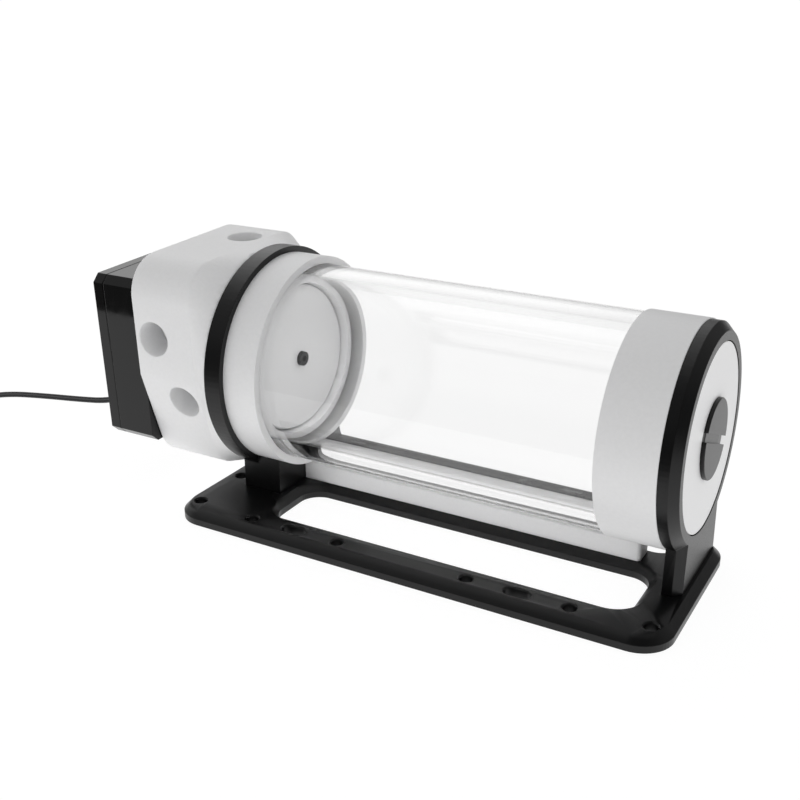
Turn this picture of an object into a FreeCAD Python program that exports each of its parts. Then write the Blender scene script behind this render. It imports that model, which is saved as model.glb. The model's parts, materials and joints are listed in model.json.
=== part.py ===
"""Coolant pump reservoir: a clear tube on two brackets with a pump on its left end, in millimetres.

Origin on the underside of the base plate, at its mid-length, under the tube's axis.
+X along the tube towards the fill plug, +Y away from the viewer, +Z up.
"""
import FreeCAD
import Part
import Sketcher
import math
import os
from FreeCAD import Placement, Rotation, Vector

os.makedirs("parts", exist_ok=True)
doc = FreeCAD.newDocument("coolant_reservoir")
sheet = doc.addObject("Spreadsheet::Sheet", "Sizes")

# Driving sizes. Positions along X keep their sign; a text starting with = is worked out from those above it.
SIZES = [
    ("axis_height", "53.4"),
    ("head_turn", "2.15"),
    # clearances, and how far a cut runs past a face
    ("fit_gap", "0.1"),
    ("thread_gap", "0.05"),
    ("screw_gap", "0.2"),
    ("head_gap", "0.3"),
    ("end_gap", "0.2"),
    ("tap_spare", "0.45"),
    ("overcut", "1"),
    # base plate
    ("plate_half", "95.2"),
    ("plate_front", "50.5"),
    ("plate_back", "26"),
    ("plate_thick", "5.16"),
    ("plate_bevel", "2.63"),
    ("plate_corner", "12"),
    ("left_rim", "35.1"),
    ("right_rim", "16.3"),
    ("front_rail", "14.9"),
    ("rear_rail", "8"),
    ("window_left", "=left_rim - plate_half"),
    ("window_right", "=plate_half - right_rim"),
    ("front_window_near", "=plate_front - front_rail"),
    ("rear_window_far", "=plate_back - rear_rail"),
    ("strip_half", "7.27"),
    ("front_window_corner", "8"),
    ("rear_window_corner", "5"),
    ("plate_cut", "=plate_thick + overcut"),
    ("rail_hole_r", "2.3"),
    ("rail_hole_rim", "0.5"),
    ("rail_inset", "7"),
    ("rail_row", "=plate_front - rail_inset"),
    ("near_hole_x", "25.5"),
    ("rail_slot_x", "44"),
    ("rail_slot_length", "9.4"),
    ("fan_hole_x", "62.25"),
    ("side_inset", "7"),
    ("corner_hole_x", "=plate_half - side_inset"),
    ("corner_inset", "9.3"),
    ("corner_hole_row", "=plate_front - corner_inset"),
    ("end_inset", "7.2"),
    ("end_hole_x", "=plate_half - end_inset"),
    ("end_hole_row", "16"),
    # screws through the plate
    ("foot_screw_r", "1.5"),
    ("foot_screw_head_r", "2.75"),
    ("foot_screw_head", "2.2"),
    ("foot_screw_sunk", "0.5"),
    ("foot_screw_length", "8.6"),
    ("foot_screw_key", "2.5"),
    ("foot_tap_r", "=foot_screw_r + thread_gap"),
    ("foot_hole_r", "=foot_screw_r + screw_gap"),
    ("foot_recess_r", "=foot_screw_head_r + head_gap"),
    ("foot_recess", "=foot_screw_sunk + foot_screw_head"),
    ("foot_tap", "=foot_recess + foot_screw_length + tap_spare - plate_thick"),
    # tube
    ("tube_r", "37.5"),
    ("tube_wall", "5"),
    ("tube_bore_r", "=tube_r - tube_wall"),
    ("spigot_r", "=tube_bore_r - fit_gap"),
    ("socket_r", "=tube_r + fit_gap"),
    ("spigot_wall", "3"),
    ("spigot_short", "3.5"),
    ("sump_r", "=spigot_r - spigot_wall"),
    ("groove_depth", "1.6"),
    ("groove_width", "2.2"),
    ("ring_groove_r", "=spigot_r - groove_depth"),
    ("o_ring_r", "0.78"),
    ("o_ring_seat", "0.07"),
    ("o_ring_mid_r", "=ring_groove_r + o_ring_r + o_ring_seat"),
    # left bracket, round the neck
    ("neck_wall", "2.85"),
    ("neck_r", "=socket_r + neck_wall"),
    ("left_inset", "13.7"),
    ("left_ring_rear", "=left_inset - plate_half"),
    ("left_ring_depth", "6.86"),
    ("left_bore_r", "=neck_r + thread_gap"),
    ("left_ring_wall", "2.25"),
    ("left_ring_r", "=left_bore_r + left_ring_wall"),
    ("left_foot_depth", "16.5"),
    ("left_foot_half", "21.9"),
    ("left_foot_top", "=axis_height - sqrt(left_bore_r ^ 2 - left_foot_half ^ 2) + overcut"),
    ("left_crook", "=axis_height - sqrt(left_ring_r ^ 2 - left_foot_half ^ 2)"),
    ("left_foot_blend", "1.6"),
    ("left_screw_inset", "3.9"),
    ("left_screw_rear", "=left_ring_rear + left_screw_inset"),
    ("left_screw_front", "=left_ring_rear + left_foot_depth - left_screw_inset"),
    ("left_screw_side", "6.9"),
    ("left_screw_y", "=left_foot_half - left_screw_side"),
    # right bracket, round the end cap's boss
    ("cap_wall", "0.8"),
    ("cap_r", "=socket_r + cap_wall"),
    ("boss_step", "6.6"),
    ("boss_face_r", "=cap_r - boss_step"),
    ("right_bore_r", "=boss_face_r + head_gap"),
    ("right_inset", "10.1"),
    ("right_ring_rear", "=plate_half - right_inset"),
    ("right_ring_depth", "6.3"),
    ("right_ring_wall", "5.95"),
    ("right_ring_r", "=right_bore_r + right_ring_wall"),
    ("right_ring_chamfer", "2.85"),
    ("right_foot_half", "21.5"),
    ("right_shin_half", "19.9"),
    ("right_shin_top", "=axis_height - right_bore_r / 2"),
    ("right_bore_cut", "=right_ring_depth + 2 * overcut"),
    ("right_screw_x", "=right_ring_rear + right_ring_depth / 2"),
    ("right_screw_side", "8.5"),
    ("right_screw_y", "=right_foot_half - right_screw_side"),
    # centre bar
    ("bar_left", "=left_ring_rear + left_foot_depth + end_gap"),
    ("bar_short", "6.4"),
    ("bar_right", "=window_right - bar_short"),
    ("bar_half", "4.65"),
    ("bar_gap", "0.55"),
    ("bar_height", "=axis_height - neck_r - plate_thick - bar_gap"),
    ("bar_end_r", "1.5"),
    ("bar_edge", "0.5"),
    ("bar_screw_inset", "12"),
    ("bar_screw_left", "=bar_left + bar_screw_inset"),
    ("bar_screw_mid", "=(bar_left + bar_right) / 2"),
    ("bar_screw_right", "=bar_right - bar_screw_inset"),
    # pump top: its neck, where the tube goes in
    ("socket_start", "3"),
    ("socket_floor", "=left_ring_rear + socket_start"),
    ("tube_left", "=socket_floor + end_gap"),
    ("neck_length", "20.7"),
    ("neck_end", "=left_ring_rear + neck_length"),
    ("neck_cut", "=neck_end + overcut"),
    ("spigot_end", "=neck_end - spigot_short"),
    ("sump_back", "2.5"),
    ("sump_floor", "=left_ring_rear - sump_back"),
    ("pump_groove_start", "2.9"),
    ("pump_groove_left", "=socket_floor + pump_groove_start"),
    ("pump_groove_right", "=pump_groove_left + groove_width"),
    ("pump_ring_x", "=pump_groove_left + groove_width / 2"),
    # pump top: its block
    ("block_length", "27"),
    ("shoulder_length", "10"),
    ("block_front", "=left_ring_rear - shoulder_length"),
    ("block_rear", "=block_front - block_length"),
    ("block_under", "4.25"),
    ("block_side", "=neck_r - block_under"),
    ("block_over", "1.55"),
    ("block_rise", "=neck_r + block_over"),
    ("block_corner", "14.3"),
    ("block_edge", "0.8"),
    ("facet_top", "2.8"),
    ("facet_run", "10.5"),
    ("facet_foot", "=block_side - facet_run"),
    ("shoulder_inset", "0.45"),
    ("shoulder_r", "=left_ring_r - shoulder_inset"),
    # impeller's outside, and the chamber round it
    ("wheel_r", "20"),
    ("wheel_eye_r", "8.5"),
    ("wheel_gap", "2"),
    ("chamber_r", "=wheel_r + wheel_gap"),
    ("chamber_depth", "11"),
    ("chamber_front", "=block_rear + chamber_depth"),
    ("chamber_cut", "=block_rear - overcut"),
    ("eye_gap", "0.5"),
    ("eye_r", "=wheel_eye_r + eye_gap"),
    ("flange_width", "5.5"),
    ("flange_r", "=chamber_r + flange_width"),
    ("flange_depth", "1.55"),
    ("flange_front", "=block_rear + flange_depth"),
    ("chamber_ring_r", "0.75"),
    ("chamber_ring_seat", "0.03"),
    ("chamber_ring_out", "2.8"),
    ("chamber_ring_mid_r", "=chamber_r + chamber_ring_out"),
    ("chamber_ring_x", "=flange_front + chamber_ring_r + chamber_ring_seat"),
    ("chamber_groove_half", "1.1"),
    ("chamber_groove_inner", "=chamber_ring_mid_r - chamber_groove_half"),
    ("chamber_groove_outer", "=chamber_ring_mid_r + chamber_groove_half"),
    ("chamber_groove", "1.6"),
    ("chamber_groove_floor", "=flange_front + chamber_groove"),
    # ports
    ("port_r", "6.58"),
    ("port_depth", "12"),
    ("port_rim", "0.42"),
    ("outlet_passage_r", "5"),
    ("inlet_passage_r", "5.5"),
    ("outlet_inset", "8.8"),
    ("outlet_x", "=block_rear + outlet_inset"),
    ("outlet_w", "12.8"),
    ("outlet_over", "7.8"),
    ("outlet_reach", "=block_side - chamber_r + outlet_over"),
    ("inlet_back", "8.4"),
    ("inlet_x", "=block_front - inlet_back"),
    ("top_port_u", "11"),
    ("low_port_w", "11.9"),
    ("low_port_u", "=block_side - (low_port_w - facet_top) * facet_run / (block_rise - facet_top)"),
    # disc, its screw and what carries it
    ("disc_back", "9.2"),
    ("disc_rear", "=neck_end - disc_back"),
    ("disc_thick", "3"),
    ("disc_front", "=disc_rear + disc_thick"),
    ("disc_gap", "1"),
    ("disc_r", "=sump_r - disc_gap"),
    ("disc_edge", "0.5"),
    ("disc_screw_r", "1.5"),
    ("disc_tap_r", "=disc_screw_r + thread_gap"),
    ("disc_hole_r", "=disc_screw_r + screw_gap"),
    ("disc_screw_head_r", "2.75"),
    ("disc_screw_head", "3"),
    ("disc_head_gap", "0.15"),
    ("disc_recess_r", "=disc_screw_head_r + disc_head_gap"),
    ("disc_sink", "1.5"),
    ("disc_screw_seat", "=disc_front - disc_sink"),
    ("disc_screw_front", "=disc_screw_seat + disc_screw_head"),
    ("disc_screw_grip", "9"),
    ("disc_screw_tip", "=disc_rear - disc_screw_grip"),
    ("disc_screw_key", "2.5"),
    ("disc_key_depth", "1.6"),
    ("disc_tap", "=disc_screw_grip + tap_spare"),
    ("boss_r", "4.5"),
    ("boss_length", "=disc_rear - sump_floor"),
    ("rib_half", "1.25"),
    ("rib_short", "3.5"),
    ("rib_length", "=boss_length - rib_short"),
    ("rib_reach", "=sump_r + rib_half / 2"),
    # end cap and plug
    ("boss_sunk", "0.2"),
    ("boss_face", "=right_ring_rear + right_ring_depth - boss_sunk"),
    ("cap_length", "20.2"),
    ("cap_left", "=right_ring_rear - cap_length"),
    ("cap_spigot", "=cap_left + spigot_short"),
    ("cap_socket_back", "3"),
    ("cap_socket_floor", "=right_ring_rear - cap_socket_back"),
    ("tube_right", "=cap_socket_floor - end_gap"),
    ("end_wall", "10.2"),
    ("cap_floor", "=boss_face - end_wall"),
    ("cap_groove_back", "5.1"),
    ("cap_groove_left", "=cap_socket_floor - cap_groove_back"),
    ("cap_groove_right", "=cap_groove_left + groove_width"),
    ("cap_ring_x", "=cap_groove_left + groove_width / 2"),
    ("plug_shank_r", "10"),
    ("plug_hole_r", "=plug_shank_r + thread_gap"),
    ("plug_head_over", "3.67"),
    ("plug_head_r", "=plug_shank_r + plug_head_over"),
    ("plug_proud", "1.45"),
    ("plug_head_front", "=boss_face + plug_proud"),
    ("plug_edge", "0.25"),
    ("plug_short", "0.6"),
    ("plug_tip", "=cap_floor + plug_short"),
    ("plug_seat_width", "2.5"),
    ("plug_seat_r", "=plug_shank_r + plug_seat_width"),
    ("plug_seat_depth", "1.2"),
    ("plug_seat_floor", "=boss_face - plug_seat_depth"),
    ("plug_slot_half", "1.5"),
    ("plug_slot_depth", "1.35"),
    ("plug_slot_reach", "=plug_head_r + overcut"),
    ("plug_turn", "-22"),
    ("plug_ring_r", "0.58"),
    ("plug_ring_mid_r", "=plug_shank_r + plug_seat_width / 2"),
    ("plug_ring_x", "=plug_seat_floor + plug_seat_depth / 2"),
    # pump case and lid
    ("case_inset", "3"),
    ("case_half", "=block_side - case_inset"),
    ("case_wall", "3.4"),
    ("case_cavity", "=case_half - case_wall"),
    ("case_cavity_flat", "9.8"),
    ("case_cavity_r", "=case_cavity - case_cavity_flat"),
    ("case_chamfer", "3"),
    ("case_depth", "16.5"),
    ("case_front_wall", "2"),
    ("case_floor", "=block_rear - case_front_wall"),
    ("case_cut", "=case_depth + 2 * overcut"),
    ("lid_front", "=block_rear - case_depth"),
    ("lid_thick", "5.3"),
    ("lid_rear", "=lid_front - lid_thick"),
    ("lid_length", "=lid_thick - thread_gap"),
    ("lid_floor", "2.9"),
    ("lid_inner", "=lid_rear + lid_floor"),
    ("lid_hollow", "=lid_thick - lid_floor"),
    ("lid_edge", "0.6"),
    ("seam_edge", "0.25"),
    ("lid_cut", "=lid_thick + 2 * overcut"),
    ("pump_screw_r", "1.5"),
    ("pump_screw_head_r", "2.75"),
    ("pump_screw_head", "1.3"),
    ("pump_screw_sunk", "0.2"),
    ("pump_screw_key", "2"),
    ("pump_screw_grip", "8.5"),
    ("pump_screw_inset", "6.4"),
    ("pump_screw_spot", "=case_half - pump_screw_inset"),
    ("pump_tap_r", "=pump_screw_r + thread_gap"),
    ("pump_hole_r", "=pump_screw_r + screw_gap"),
    ("pump_recess_r", "=pump_screw_head_r + head_gap"),
    ("pump_recess", "=pump_screw_sunk + pump_screw_head + overcut"),
    ("pump_screw_seat", "=lid_rear + pump_screw_sunk + pump_screw_head"),
    ("pump_screw_length", "=block_rear + pump_screw_grip - pump_screw_seat"),
    ("pump_tap", "=pump_screw_grip + tap_spare"),
    # isolation cup, post and ball
    ("magnet_r", "15.9"),
    ("magnet_gap", "0.6"),
    ("cup_bore_r", "=magnet_r + magnet_gap"),
    ("cup_wall", "1"),
    ("cup_r", "=cup_bore_r + cup_wall"),
    ("cup_hole_r", "=cup_r + fit_gap"),
    ("cup_flange_r", "=flange_r - fit_gap"),
    ("cup_back", "3.2"),
    ("cup_rear", "=lid_inner + cup_back"),
    ("cup_end", "1.2"),
    ("cup_floor", "=cup_rear + cup_end"),
    ("ball_r", "2.5"),
    ("post_inset", "0.1"),
    ("post_r", "=ball_r - post_inset"),
    ("post_length", "8.4"),
    ("post_top", "=cup_floor + post_length"),
    ("ball_out", "1.3"),
    ("ball_x", "=post_top + ball_out"),
    ("ball_seat_gap", "0.02"),
    ("ball_seat_r", "=ball_r + ball_seat_gap"),
    ("ball_socket_r", "=ball_r + thread_gap"),
    ("bearing_clear", "0.7"),
    ("bearing_bore_r", "=ball_r + bearing_clear"),
    ("bearing_wall", "1.4"),
    ("bearing_r", "=bearing_bore_r + bearing_wall"),
    ("bearing_hole_r", "=bearing_r + thread_gap"),
    ("bearing_cap", "4.3"),
    ("bearing_front", "=ball_x + bearing_cap"),
    ("bearing_skirt", "5.7"),
    ("bearing_rear", "=ball_x - bearing_skirt"),
    # impeller and magnet
    ("wheel_front_gap", "0.9"),
    ("cover_front", "=chamber_front - wheel_front_gap"),
    ("cover_thick", "1"),
    ("vane_front", "=cover_front - cover_thick"),
    ("vane_height", "5.1"),
    ("wheel_back", "=vane_front - vane_height"),
    ("wheel_thick", "1.4"),
    ("wheel_rear", "=wheel_back - wheel_thick"),
    ("hub_r", "11"),
    ("hub_end_gap", "1.2"),
    ("hub_rear", "=cup_floor + hub_end_gap"),
    ("magnet_bore_r", "=hub_r + thread_gap"),
    ("magnet_back", "0.5"),
    ("magnet_front", "=wheel_rear - magnet_back"),
    ("vane_count", "7"),
    ("vane_root", "0.7"),
    ("vane_root_r", "=wheel_eye_r + vane_root"),
    ("vane_tip", "0.6"),
    ("vane_tip_r", "=wheel_r - vane_tip"),
    ("vane_mid_r", "=(vane_root_r + vane_tip_r) / 2"),
    ("vane_mid_angle", "20"),
    ("vane_sweep_angle", "48"),
    ("vane_thick_angle", "3.4"),
    # stator and circuit board
    ("core_r", "=case_cavity - fit_gap"),
    ("yoke_wall", "3.7"),
    ("yoke_r", "=core_r - yoke_wall"),
    ("pole_gap", "0.45"),
    ("pole_r", "=cup_r + pole_gap"),
    ("pole_half", "2.6"),
    ("pole_root_r", "=yoke_r + overcut"),
    ("core_back", "6.4"),
    ("core_rear", "=lid_inner + core_back"),
    ("core_space", "2.5"),
    ("core_front", "=case_floor - core_space"),
    ("core_length", "=core_front - core_rear"),
    ("winding_start", "1.25"),
    ("winding_inner", "=pole_r + winding_start"),
    ("winding_end_gap", "0.5"),
    ("winding_outer", "=yoke_r - winding_end_gap"),
    ("winding_half", "4.9"),
    ("winding_over", "1.8"),
    ("winding_rear", "=core_rear - winding_over"),
    ("winding_length", "=core_length + 2 * winding_over"),
    ("tunnel_inner", "=pole_r - overcut"),
    ("board_space", "0.4"),
    ("board_front", "=cup_rear - board_space"),
    ("board_thick", "1.6"),
    ("board_rear", "=board_front - board_thick"),
    ("board_cut", "=board_thick + overcut"),
    ("board_gap", "0.4"),
    ("board_r", "=case_cavity - board_gap"),
    ("board_notch_inset", "5.4"),
    ("board_notch_x", "=board_r - board_notch_inset"),
    ("board_notch_r", "1.6"),
    # lead
    ("lead_r", "1.25"),
    ("lead_side", "15.2"),
    ("lead_y", "=lead_side - case_half"),
    ("lead_drop", "7.8"),
    ("lead_z", "=axis_height + lead_drop - case_half"),
    ("grommet_bore_r", "=lead_r + thread_gap"),
    ("grommet_wall", "1.4"),
    ("grommet_r", "=grommet_bore_r + grommet_wall"),
    ("grommet_hole_r", "=grommet_r + thread_gap"),
    ("grommet_rim", "0.8"),
    ("grommet_rim_r", "=grommet_r + grommet_rim"),
    ("grommet_lip", "0.9"),
    ("grommet_rear", "=lid_rear - grommet_lip"),
    ("grommet_front", "=lid_inner - fit_gap"),
    ("hank_r", "14"),
    ("hank_section_r", "2.8"),
    ("hank_x", "-284"),
    ("hank_z", "3.7"),
    ("tail_length", "26"),
    ("tie_gap", "0.2"),
    ("tie_wall", "0.65"),
    ("tie_half", "1.5"),
    ("tie_inner_r", "=hank_section_r + tie_gap"),
    ("tie_outer_r", "=tie_inner_r + tie_wall"),
    ("shell_length", "14"),
    ("shell_half", "5.2"),
    ("shell_low_half", "2.9"),
    ("pin_count", "4"),
    ("pin_pitch", "2.54"),
    ("pin_half", "0.6"),
    ("pin_depth", "8"),
]
for row, (name, value) in enumerate(SIZES, start=1):
    sheet.set("A%d" % row, name)
    sheet.set("B%d" % row, value)
    sheet.setAlias("B%d" % row, name)
doc.recompute()

X_AXIS = Vector(1, 0, 0)
UPRIGHT = Placement()
ON_AXIS = Placement(Vector(0, 0, float(sheet.get("axis_height"))), Rotation())
ON_HEAD = Placement(ON_AXIS.Base, Rotation(X_AXIS, float(sheet.get("head_turn"))))
handed_in = []


def size(token):
    """Return the number behind a token: a number, or a name in the sheet with or without a minus sign."""
    if isinstance(token, (int, float)):
        return float(token)
    if token.startswith("-"):
        return -float(sheet.get(token[1:]))
    return float(sheet.get(token))


def bind(thing, prop, token):
    """Drive a property from the sheet, or set it when the token is a plain number."""
    if isinstance(token, (int, float)):
        setattr(thing, prop, token)
    elif token.startswith("-"):
        thing.setExpression(prop, "-Sizes." + token[1:])
    else:
        thing.setExpression(prop, "Sizes." + token)


def new_body(label, place):
    """Start a named body at a placement."""
    body = doc.addObject("PartDesign::Body", label)
    body.Label = label
    body.AllowCompound = True
    body.Placement = place
    handed_in.append(body)
    return body


def new_sketch(body, role, offset=0.0, tilt=None):
    """Attach a sketch to one of the body's own planes, moved along the plane's normal."""
    sketch = body.newObject("Sketcher::SketchObject", body.Label + "_sketch")
    plane = [item for item in body.Origin.OriginFeatures if item.Role == role][0]
    sketch.AttachmentSupport = (plane, [""])
    sketch.MapMode = "FlatFace"
    if tilt is not None:
        sketch.AttachmentOffset = tilt
    elif isinstance(offset, (int, float)):
        sketch.AttachmentOffset = Placement(Vector(0, 0, offset), Rotation())
    else:
        sketch.AttachmentOffset = Placement(Vector(0, 0, size(offset)), Rotation())
        bind(sketch, "AttachmentOffset.Base.z", offset)
    return sketch


def pin_point(sketch, piece, end, x, y):
    """Hold one end of a piece at x, y from the sketch's origin, driven from the sheet."""
    for kind, token, axis in (("DistanceX", x, -2), ("DistanceY", y, -1)):
        if size(token) == 0:
            sketch.addConstraint(Sketcher.Constraint("PointOnObject", piece, end, axis))
            continue
        index = sketch.addConstraint(Sketcher.Constraint(kind, -1, 1, piece, end, size(token)))
        if not isinstance(token, (int, float)):
            bind(sketch, "Constraints[%d]" % index, token)


def outline(sketch, corners):
    """Draw a closed outline of straight lines with every corner driven from the sheet."""
    first = sketch.GeometryCount
    points = [Vector(size(x), size(y), 0) for x, y in corners]
    for index, point in enumerate(points):
        after = points[(index + 1) % len(points)]
        sketch.addGeometry(Part.LineSegment(point, after), False)
    for index in range(len(points)):
        following = first + (index + 1) % len(points)
        sketch.addConstraint(Sketcher.Constraint("Coincident", first + index, 2, following, 1))
    for index, (x, y) in enumerate(corners):
        pin_point(sketch, first + index, 1, x, y)


def circle(sketch, x, y, radius):
    """Draw a circle with its centre and radius driven from the sheet."""
    index = sketch.addGeometry(Part.Circle(Vector(size(x), size(y), 0), Vector(0, 0, 1), size(radius)), False)
    pin_point(sketch, index, 3, x, y)
    held = sketch.addConstraint(Sketcher.Constraint("Radius", index, size(radius)))
    if not isinstance(radius, (int, float)):
        bind(sketch, "Constraints[%d]" % held, radius)


def slot(sketch, x, y, length, radius):
    """Draw a slot along the sketch's X about a centre."""
    reach = size(length) / 2 - size(radius)
    cx = size(x)
    cy = size(y)
    r = size(radius)
    up = Vector(0, 0, 1)
    right_end = Part.Circle(Vector(cx + reach, cy, 0), up, r)
    left_end = Part.Circle(Vector(cx - reach, cy, 0), up, r)
    right = sketch.addGeometry(Part.ArcOfCircle(right_end, -math.pi / 2, math.pi / 2), False)
    top_line = Part.LineSegment(Vector(cx + reach, cy + r, 0), Vector(cx - reach, cy + r, 0))
    top = sketch.addGeometry(top_line, False)
    left = sketch.addGeometry(Part.ArcOfCircle(left_end, math.pi / 2, 3 * math.pi / 2), False)
    low_line = Part.LineSegment(Vector(cx - reach, cy - r, 0), Vector(cx + reach, cy - r, 0))
    low = sketch.addGeometry(low_line, False)
    for one, other in ((right, top), (top, left), (left, low), (low, right)):
        sketch.addConstraint(Sketcher.Constraint("Coincident", one, 2, other, 1))


def hexagon(sketch, x, y, across):
    """Draw a six-sided socket about a centre."""
    reach = size(across) / math.sqrt(3)
    ends = []
    for side in range(6):
        angle = math.radians(60 * side)
        ends.append(Vector(size(x) + reach * math.cos(angle), size(y) + reach * math.sin(angle), 0))
    first = sketch.GeometryCount
    for side in range(6):
        sketch.addGeometry(Part.LineSegment(ends[side], ends[(side + 1) % 6]), False)
    for side in range(6):
        following = first + (side + 1) % 6
        sketch.addConstraint(Sketcher.Constraint("Coincident", first + side, 2, following, 1))


def rounded_points(corners, radius):
    """Return for each corner of an anticlockwise outline its arc's centre, start, end and radius."""
    points = [Vector(size(x), size(y), 0) for x, y in corners]
    result = []
    for index, point in enumerate(points):
        back = (points[index - 1] - point).normalize()
        ahead = (points[(index + 1) % len(points)] - point).normalize()
        r = size(radius[index])
        half = back.getAngle(ahead) / 2
        run = r / math.tan(half)
        inward = (back + ahead).normalize()
        centre = point + inward * (r / math.sin(half))
        result.append((centre, point + back * run, point + ahead * run, r))
    return result


def rounded_outline(sketch, corners, radius):
    """Draw an anticlockwise outline with its corners rounded; a radius of 0 leaves a corner sharp."""
    spots = rounded_points(corners, radius)
    chain = []
    for index, (centre, start, end, r) in enumerate(spots):
        if r > 0:
            first = math.atan2(start.y - centre.y, start.x - centre.x)
            last = math.atan2(end.y - centre.y, end.x - centre.x)
            if last < first:
                last += 2 * math.pi
            ring = Part.Circle(centre, Vector(0, 0, 1), r)
            chain.append(sketch.addGeometry(Part.ArcOfCircle(ring, first, last), False))
        after = spots[(index + 1) % len(spots)][1]
        chain.append(sketch.addGeometry(Part.LineSegment(end, after), False))
    for index, piece in enumerate(chain):
        following = chain[(index + 1) % len(chain)]
        sketch.addConstraint(Sketcher.Constraint("Coincident", piece, 2, following, 1))


def split_circle(sketch, corners, radius, ring_radius):
    """Draw a circle in as many arcs as the rounded outline has pieces, each facing its piece."""
    joins = []
    for centre, start, end, r in rounded_points(corners, radius):
        joins.append(math.atan2(start.y, start.x))
        if r > 0:
            joins.append(math.atan2(end.y, end.x))
    chain = []
    for index, first in enumerate(joins):
        last = joins[(index + 1) % len(joins)]
        while last < first:
            last += 2 * math.pi
        ring = Part.Circle(Vector(0, 0, 0), Vector(0, 0, 1), size(ring_radius))
        chain.append(sketch.addGeometry(Part.ArcOfCircle(ring, first, last), False))
    for index, piece in enumerate(chain):
        following = chain[(index + 1) % len(chain)]
        sketch.addConstraint(Sketcher.Constraint("Coincident", piece, 2, following, 1))


def extrude(body, kind, sketch, length, reverse=False):
    """Pad or pocket a sketch by a length."""
    feature = body.newObject("PartDesign::" + kind, body.Label + "_" + kind.lower())
    feature.Profile = sketch
    feature.Type = 0
    bind(feature, "Length", length)
    feature.Reversed = reverse
    sketch.Visibility = False
    body.Tip = feature
    return feature


def turn(body, kind, corners):
    """Turn an outline of along, radius corners about the body's X axis: Revolution adds, Groove cuts."""
    sketch = new_sketch(body, "XZ_Plane")
    outline(sketch, corners)
    feature = body.newObject("PartDesign::" + kind, body.Label + "_" + kind.lower())
    feature.Profile = sketch
    feature.ReferenceAxis = (sketch, ["H_Axis"])
    feature.Angle = 360
    body.Tip = feature
    return feature


def turned(label, place, corners):
    """A body that is one turned solid."""
    body = new_body(label, place)
    turn(body, "Revolution", corners)
    return body


def turn_circle(body, kind, along, mid_radius, radius):
    """Turn a circular section into a ring."""
    sketch = new_sketch(body, "XZ_Plane")
    circle(sketch, along, mid_radius, radius)
    feature = body.newObject("PartDesign::" + kind, body.Label + "_" + kind.lower())
    feature.Profile = sketch
    feature.ReferenceAxis = (sketch, ["H_Axis"])
    feature.Angle = 360
    body.Tip = feature
    return feature


def turn_ball(body, kind, along, radius):
    """Turn a half disc about the X axis into a ball."""
    sketch = new_sketch(body, "XZ_Plane")
    x = size(along)
    r = size(radius)
    ring = Part.Circle(Vector(x, 0, 0), Vector(0, 0, 1), r)
    arc = sketch.addGeometry(Part.ArcOfCircle(ring, 0, math.pi), False)
    flat = sketch.addGeometry(Part.LineSegment(Vector(x - r, 0, 0), Vector(x + r, 0, 0)), False)
    sketch.addConstraint(Sketcher.Constraint("Coincident", arc, 2, flat, 1))
    sketch.addConstraint(Sketcher.Constraint("Coincident", flat, 2, arc, 1))
    feature = body.newObject("PartDesign::" + kind, body.Label + "_" + kind.lower())
    feature.Profile = sketch
    feature.ReferenceAxis = (sketch, ["H_Axis"])
    feature.Angle = 360
    body.Tip = feature
    return feature


def trim_edges(body, kind, base, test, amount):
    """Fillet or chamfer the edges of a feature that pass a test."""
    doc.recompute()
    names = ["Edge%d" % (index + 1) for index, edge in enumerate(base.Shape.Edges) if test(edge)]
    if not names:
        raise RuntimeError("no edges to trim on " + body.Label)
    feature = body.newObject("PartDesign::" + kind, body.Label + "_" + kind.lower())
    feature.Base = (base, names)
    if kind == "Fillet":
        bind(feature, "Radius", amount)
    else:
        bind(feature, "Size", amount)
    body.Tip = feature
    return feature


def flat_at(edge, axis, level):
    """Tell whether every end and middle of an edge lies at a level along an axis."""
    marks = [vertex.Point for vertex in edge.Vertexes]
    middle = (edge.FirstParameter + edge.LastParameter) / 2
    marks.append(edge.valueAt(middle))
    return all(abs(getattr(mark, axis) - level) < 0.01 for mark in marks)


def upright(edge):
    """Tell whether an edge stands upright."""
    return abs(edge.tangentAt(edge.FirstParameter).z) > 0.9


def screws(label, place, role, seat, spots, shank_r, shank, head_r, head, across):
    """Make a group of socket screws: heads start at the seat and the shanks run along the plane's normal."""
    body = new_body(label, place)
    sketch = new_sketch(body, role, seat)
    for x, y in spots:
        circle(sketch, x, y, shank_r)
    extrude(body, "Pad", sketch, shank)
    sketch = new_sketch(body, role, seat)
    for x, y in spots:
        circle(sketch, x, y, head_r)
    extrude(body, "Pad", sketch, head, reverse=True)
    sketch = new_sketch(body, role, size(seat) - size(head))
    for x, y in spots:
        hexagon(sketch, x, y, across)
    extrude(body, "Pocket", sketch, 0.55 * size(head), reverse=True)
    return body


def box_on(body, role, offset, low, high, length, kind="Pad", reverse=False):
    """Pad or pocket a rectangle given by two corners."""
    sketch = new_sketch(body, role, offset)
    outline(sketch, [(low[0], low[1]), (high[0], low[1]), (high[0], high[1]), (low[0], high[1])])
    return extrude(body, kind, sketch, length, reverse)


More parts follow.
